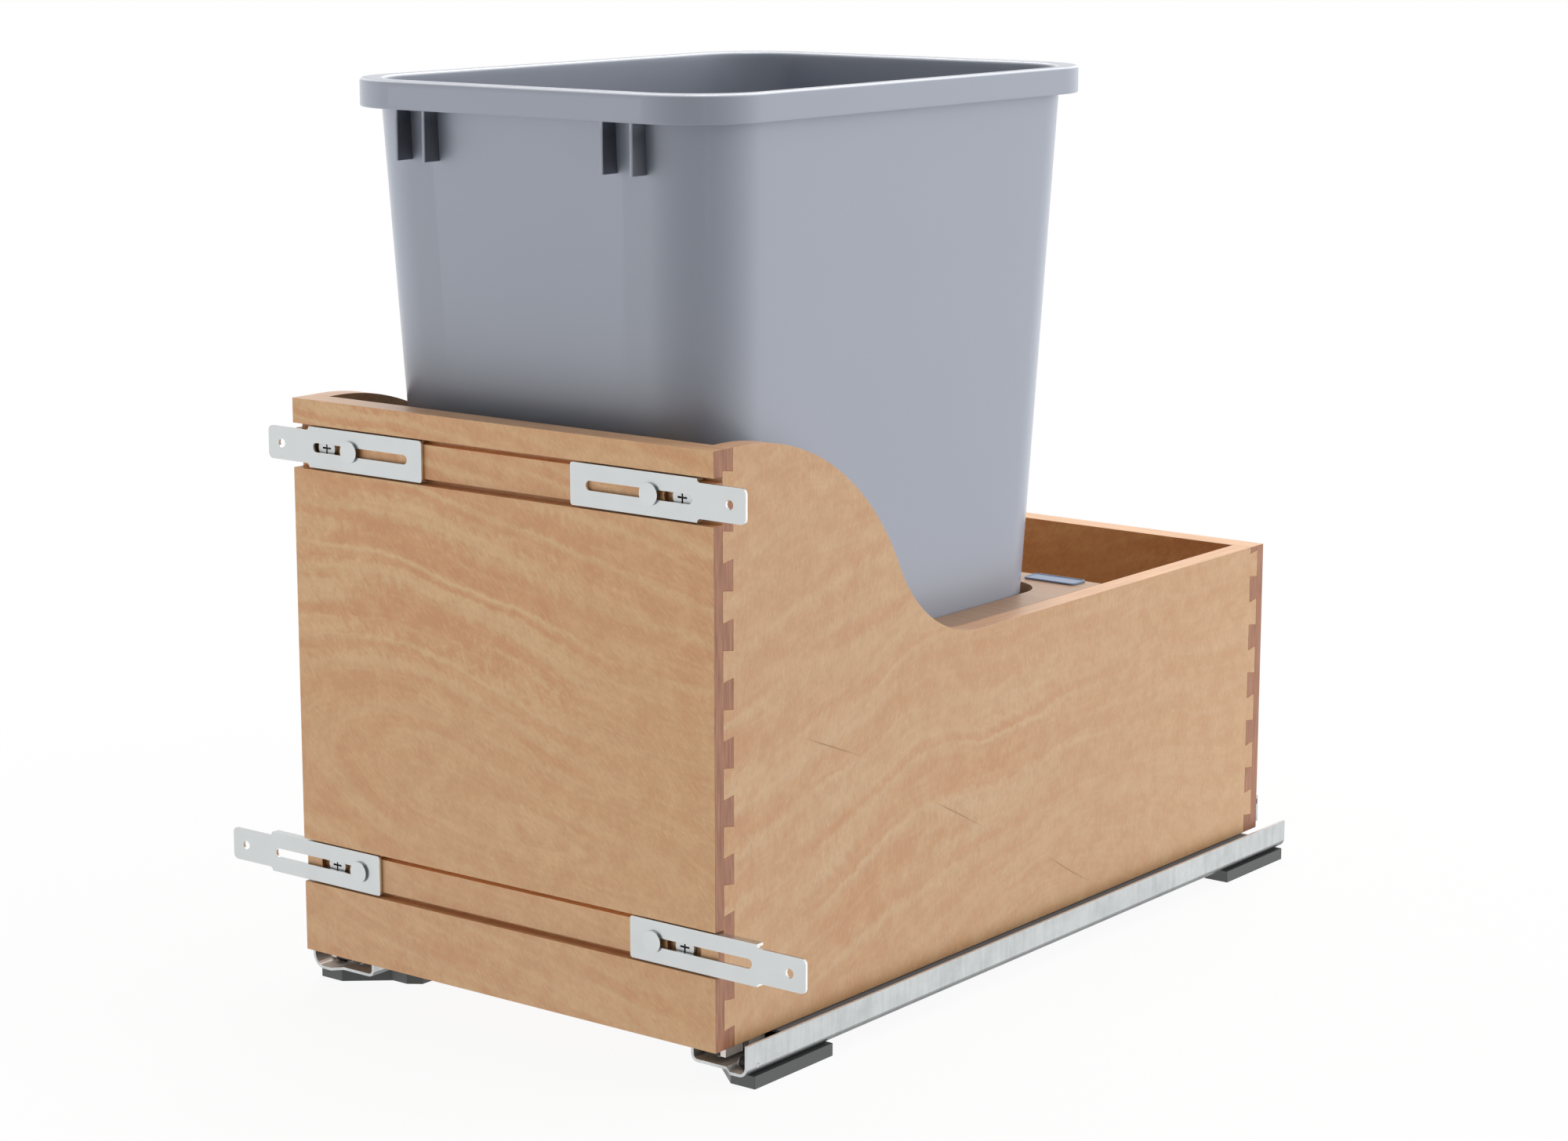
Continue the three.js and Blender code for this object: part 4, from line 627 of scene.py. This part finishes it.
def rim_ring(height, inset):
    """Ring of the upright rim and skirt, drawn in by inset."""
    return rounded_ring(RIM_HALF_X - inset, RIM_HALF_Y - inset, RIM_CORNER - inset, height)


# The shell's outline, from the middle of the underside up the outer wall, down and up the skirt,
# over the rim and down the inner wall to the floor.
rim_under = BIN_TOP - RIM_SHEET - RIM_ROOT
lip_middle = SKIRT_FOOT + SKIRT_LIP
shell = [body_ring(BIN_FLOOR + BIN_FOOT_ROUND * (1 + up), BIN_FOOT_ROUND * (1 - out))
         for out, up in quarter_round(-90, 0, 6)]
shell += [body_ring(height, 0)
          for height in np.linspace(BIN_FLOOR + BIN_FOOT_ROUND, rim_under - RIM_ROOT, 16)[1:]]
shell += [body_ring(rim_under + RIM_ROOT * up, -RIM_ROOT * (1 + out))
          for out, up in quarter_round(180, 90, 4)]
shell += [rim_ring(rim_under + RIM_ROOT * up, SKIRT_WALL + RIM_ROOT * (1 - out))
          for out, up in quarter_round(90, 0, 4)]
shell += [rim_ring(SKIRT_FOOT + SKIRT_FLAT_INSIDE, SKIRT_WALL)]
shell += [rim_ring(lip_middle + SKIRT_LIP * up, SKIRT_WALL - SKIRT_LIP * (1 + out))
          for out, up in quarter_round(180, 270, 3)]
shell += [rim_ring(lip_middle + SKIRT_LIP * up, SKIRT_LIP * (1 - out))
          for out, up in quarter_round(-90, 0, 3)]
shell += [rim_ring(SKIRT_FOOT + SKIRT_FLAT_OUTSIDE, 0), rim_ring(BIN_TOP - RIM_ROUND - RIM_FLAT, 0)]
shell += [rim_ring(BIN_TOP - RIM_ROUND * (1 - up), RIM_ROUND * (1 - out))
          for out, up in quarter_round(0, 90, 6)]
shell += [body_ring(BIN_TOP - MOUTH_ROUND * (1 - up), BIN_WALL - MOUTH_ROUND * (1 + out))
          for out, up in quarter_round(90, 180, 6)]
floor_round = BIN_FLOOR + BIN_WALL + BIN_FOOT_ROUND
shell += [body_ring(height, BIN_WALL)
          for height in np.linspace(BIN_TOP - MOUTH_DEPTH, floor_round, 14)]
shell += [body_ring(floor_round + BIN_FOOT_ROUND * up, BIN_WALL + BIN_FOOT_ROUND * (1 - out))
          for out, up in quarter_round(0, -90, 6)[1:]]

# The ribs' sides under the skirt are darkened as painted shade beyond the last distance here.
RIB_PAIR, RIB_GAP, RIB_DROP, RIB_SHADED_FROM = 0.0694, 0.0095, 0.0262, 0.16
RIB_HALF_THICK, RIB_CORNER, RIB_FOOT_ROUND = 0.001, 0.0006, 0.0005
RIB_IN_SKIRT, RIB_IN_WALL, RIB_TOP = RIM_HALF_Y - 0.0006, BODY_HALF_Y - 0.0017, BIN_TOP - 0.0026


def rib(x, end):
    """Thin upright plate with rounded edges, from inside the wall to inside the skirt: a small
    rounded ring carried from the rounded foot up into the rim."""
    half_y, middle = (RIB_IN_SKIRT - RIB_IN_WALL) / 2, (RIB_IN_SKIRT + RIB_IN_WALL) / 2
    rows = [(SKIRT_FOOT - RIB_DROP + RIB_FOOT_ROUND * (1 + up), RIB_FOOT_ROUND * (1 - out))
            for out, up in quarter_round(-90, 0, 3)]
    rows.append((RIB_TOP, 0.0))
    return skin([rounded_ring(RIB_HALF_THICK - inset, half_y - inset, RIB_CORNER - inset * 0.9,
                              height, turns=3, straight=2) + np.array([x - BIN_X, end * middle, 0])
                 for height, inset in rows])


ribs = [rib(BIN_X + pair * RIB_PAIR + offset * RIB_GAP, end)
        for pair in (-1, 1) for offset in (-1, 1) for end in (-1, 1)]
# The rim's rounds are paled as a painted highlight.
grey_polypropylene = moulded_plastic(
    "grey_polypropylene", shade(152, 158, 171), roughness=0.24, mottle=0.015, pitch=1400,
    painted_highlight=shade(238, 241, 247), shaded_flanks=(BIN_Y, RIB_SHADED_FROM, SKIRT_FOOT, shade(92, 95, 104)))
waste_bin = piece("waste_bin_shell", [skin(shell)] + ribs, grey_polypropylene)
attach(waste_bin, "bin")
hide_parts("waste_bin")

# ------------------------------------------------------------------------------------------------
# Badge plate: a small stamped metal plate fixed on the shelf behind the bin. It is bare, with
# rounded corners and a raised border round a sunk field.

BADGE_CORNER, BADGE_BORDER, BADGE_RISE, BADGE_SINK = 0.0032, 0.0011, 0.0004, 0.0003
BADGE_SLOPE, BADGE_FIELD_INSET = 0.0002, 0.0024
badge_low, badge_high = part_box("badge_plate")
badge_middle, badge_half = (badge_low + badge_high) / 2, (badge_high - badge_low) / 2


def badge_ring(height, inset):
    """Outline of the plate, drawn in by inset, at one height."""
    ring = rounded_ring(badge_half.x - inset, badge_half.y - inset, BADGE_CORNER - inset, height,
                        turns=8, straight=4)
    return ring + np.array([badge_middle.x - BIN_X, badge_middle.y - BIN_Y, 0])


field = badge_high.z - BADGE_SINK
crown = field + BADGE_RISE
badge_rings = [badge_ring(height, inset) for height, inset in (
    (badge_low.z, 0.0), (crown - BADGE_SLOPE, 0.0), (crown, BADGE_SLOPE),
    (crown, BADGE_BORDER - BADGE_SLOPE), (field, BADGE_BORDER), (field, BADGE_FIELD_INSET))]
badge_metal = bright_steel("badge_metal", shade(128, 142, 164), roughness=0.42, metal=0.4)
badge_plate = piece("badge_plate_bare", [skin(badge_rings)], badge_metal, smooth=False)
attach(badge_plate, "box")
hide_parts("badge_plate")

# ------------------------------------------------------------------------------------------------
# Door brackets: zinc-plated sheet with folded edges, held by a disc-headed stud through the slot
# and a locking screw with a cross recess behind it.

HEAD_FACE, CROSS_HALF = 0.0031, (0.0034, 0.003, 0.0034)
# The brackets' faces that look along X are paled as a painted highlight.
bracket_zinc = bright_steel("bracket_zinc", shade(201, 204, 204), roughness=0.22, metal=0.85,
                            edges=shade(244, 245, 244))
# The studs' rims, which look along X, are darkened as painted shade.
stud_zinc = bright_steel("stud_zinc", shade(204, 207, 207), roughness=0.25, metal=0.8,
                         edges=shade(104, 106, 108))
dress(each_side("door_bracket_upper", "door_bracket_lower"), bracket_zinc, edge=0.00012)
dress(each_side("clamp_stud_upper", "clamp_stud_lower"), stud_zinc, edge=0.00012)
# The cross recess of each locking screw is darkened as painted shade.
for screw in each_side("lock_screw_upper", "lock_screw_lower"):
    head_low, head_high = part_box(screw)
    middle = (head_low + head_high) / 2
    cross = ((middle.x, head_low.y + HEAD_FACE, middle.z), CROSS_HALF)
    screw_zinc = bright_steel(screw + "_zinc", shade(204, 206, 206), roughness=0.28, recess=cross)
    dress([screw], screw_zinc, edge=0.00005)
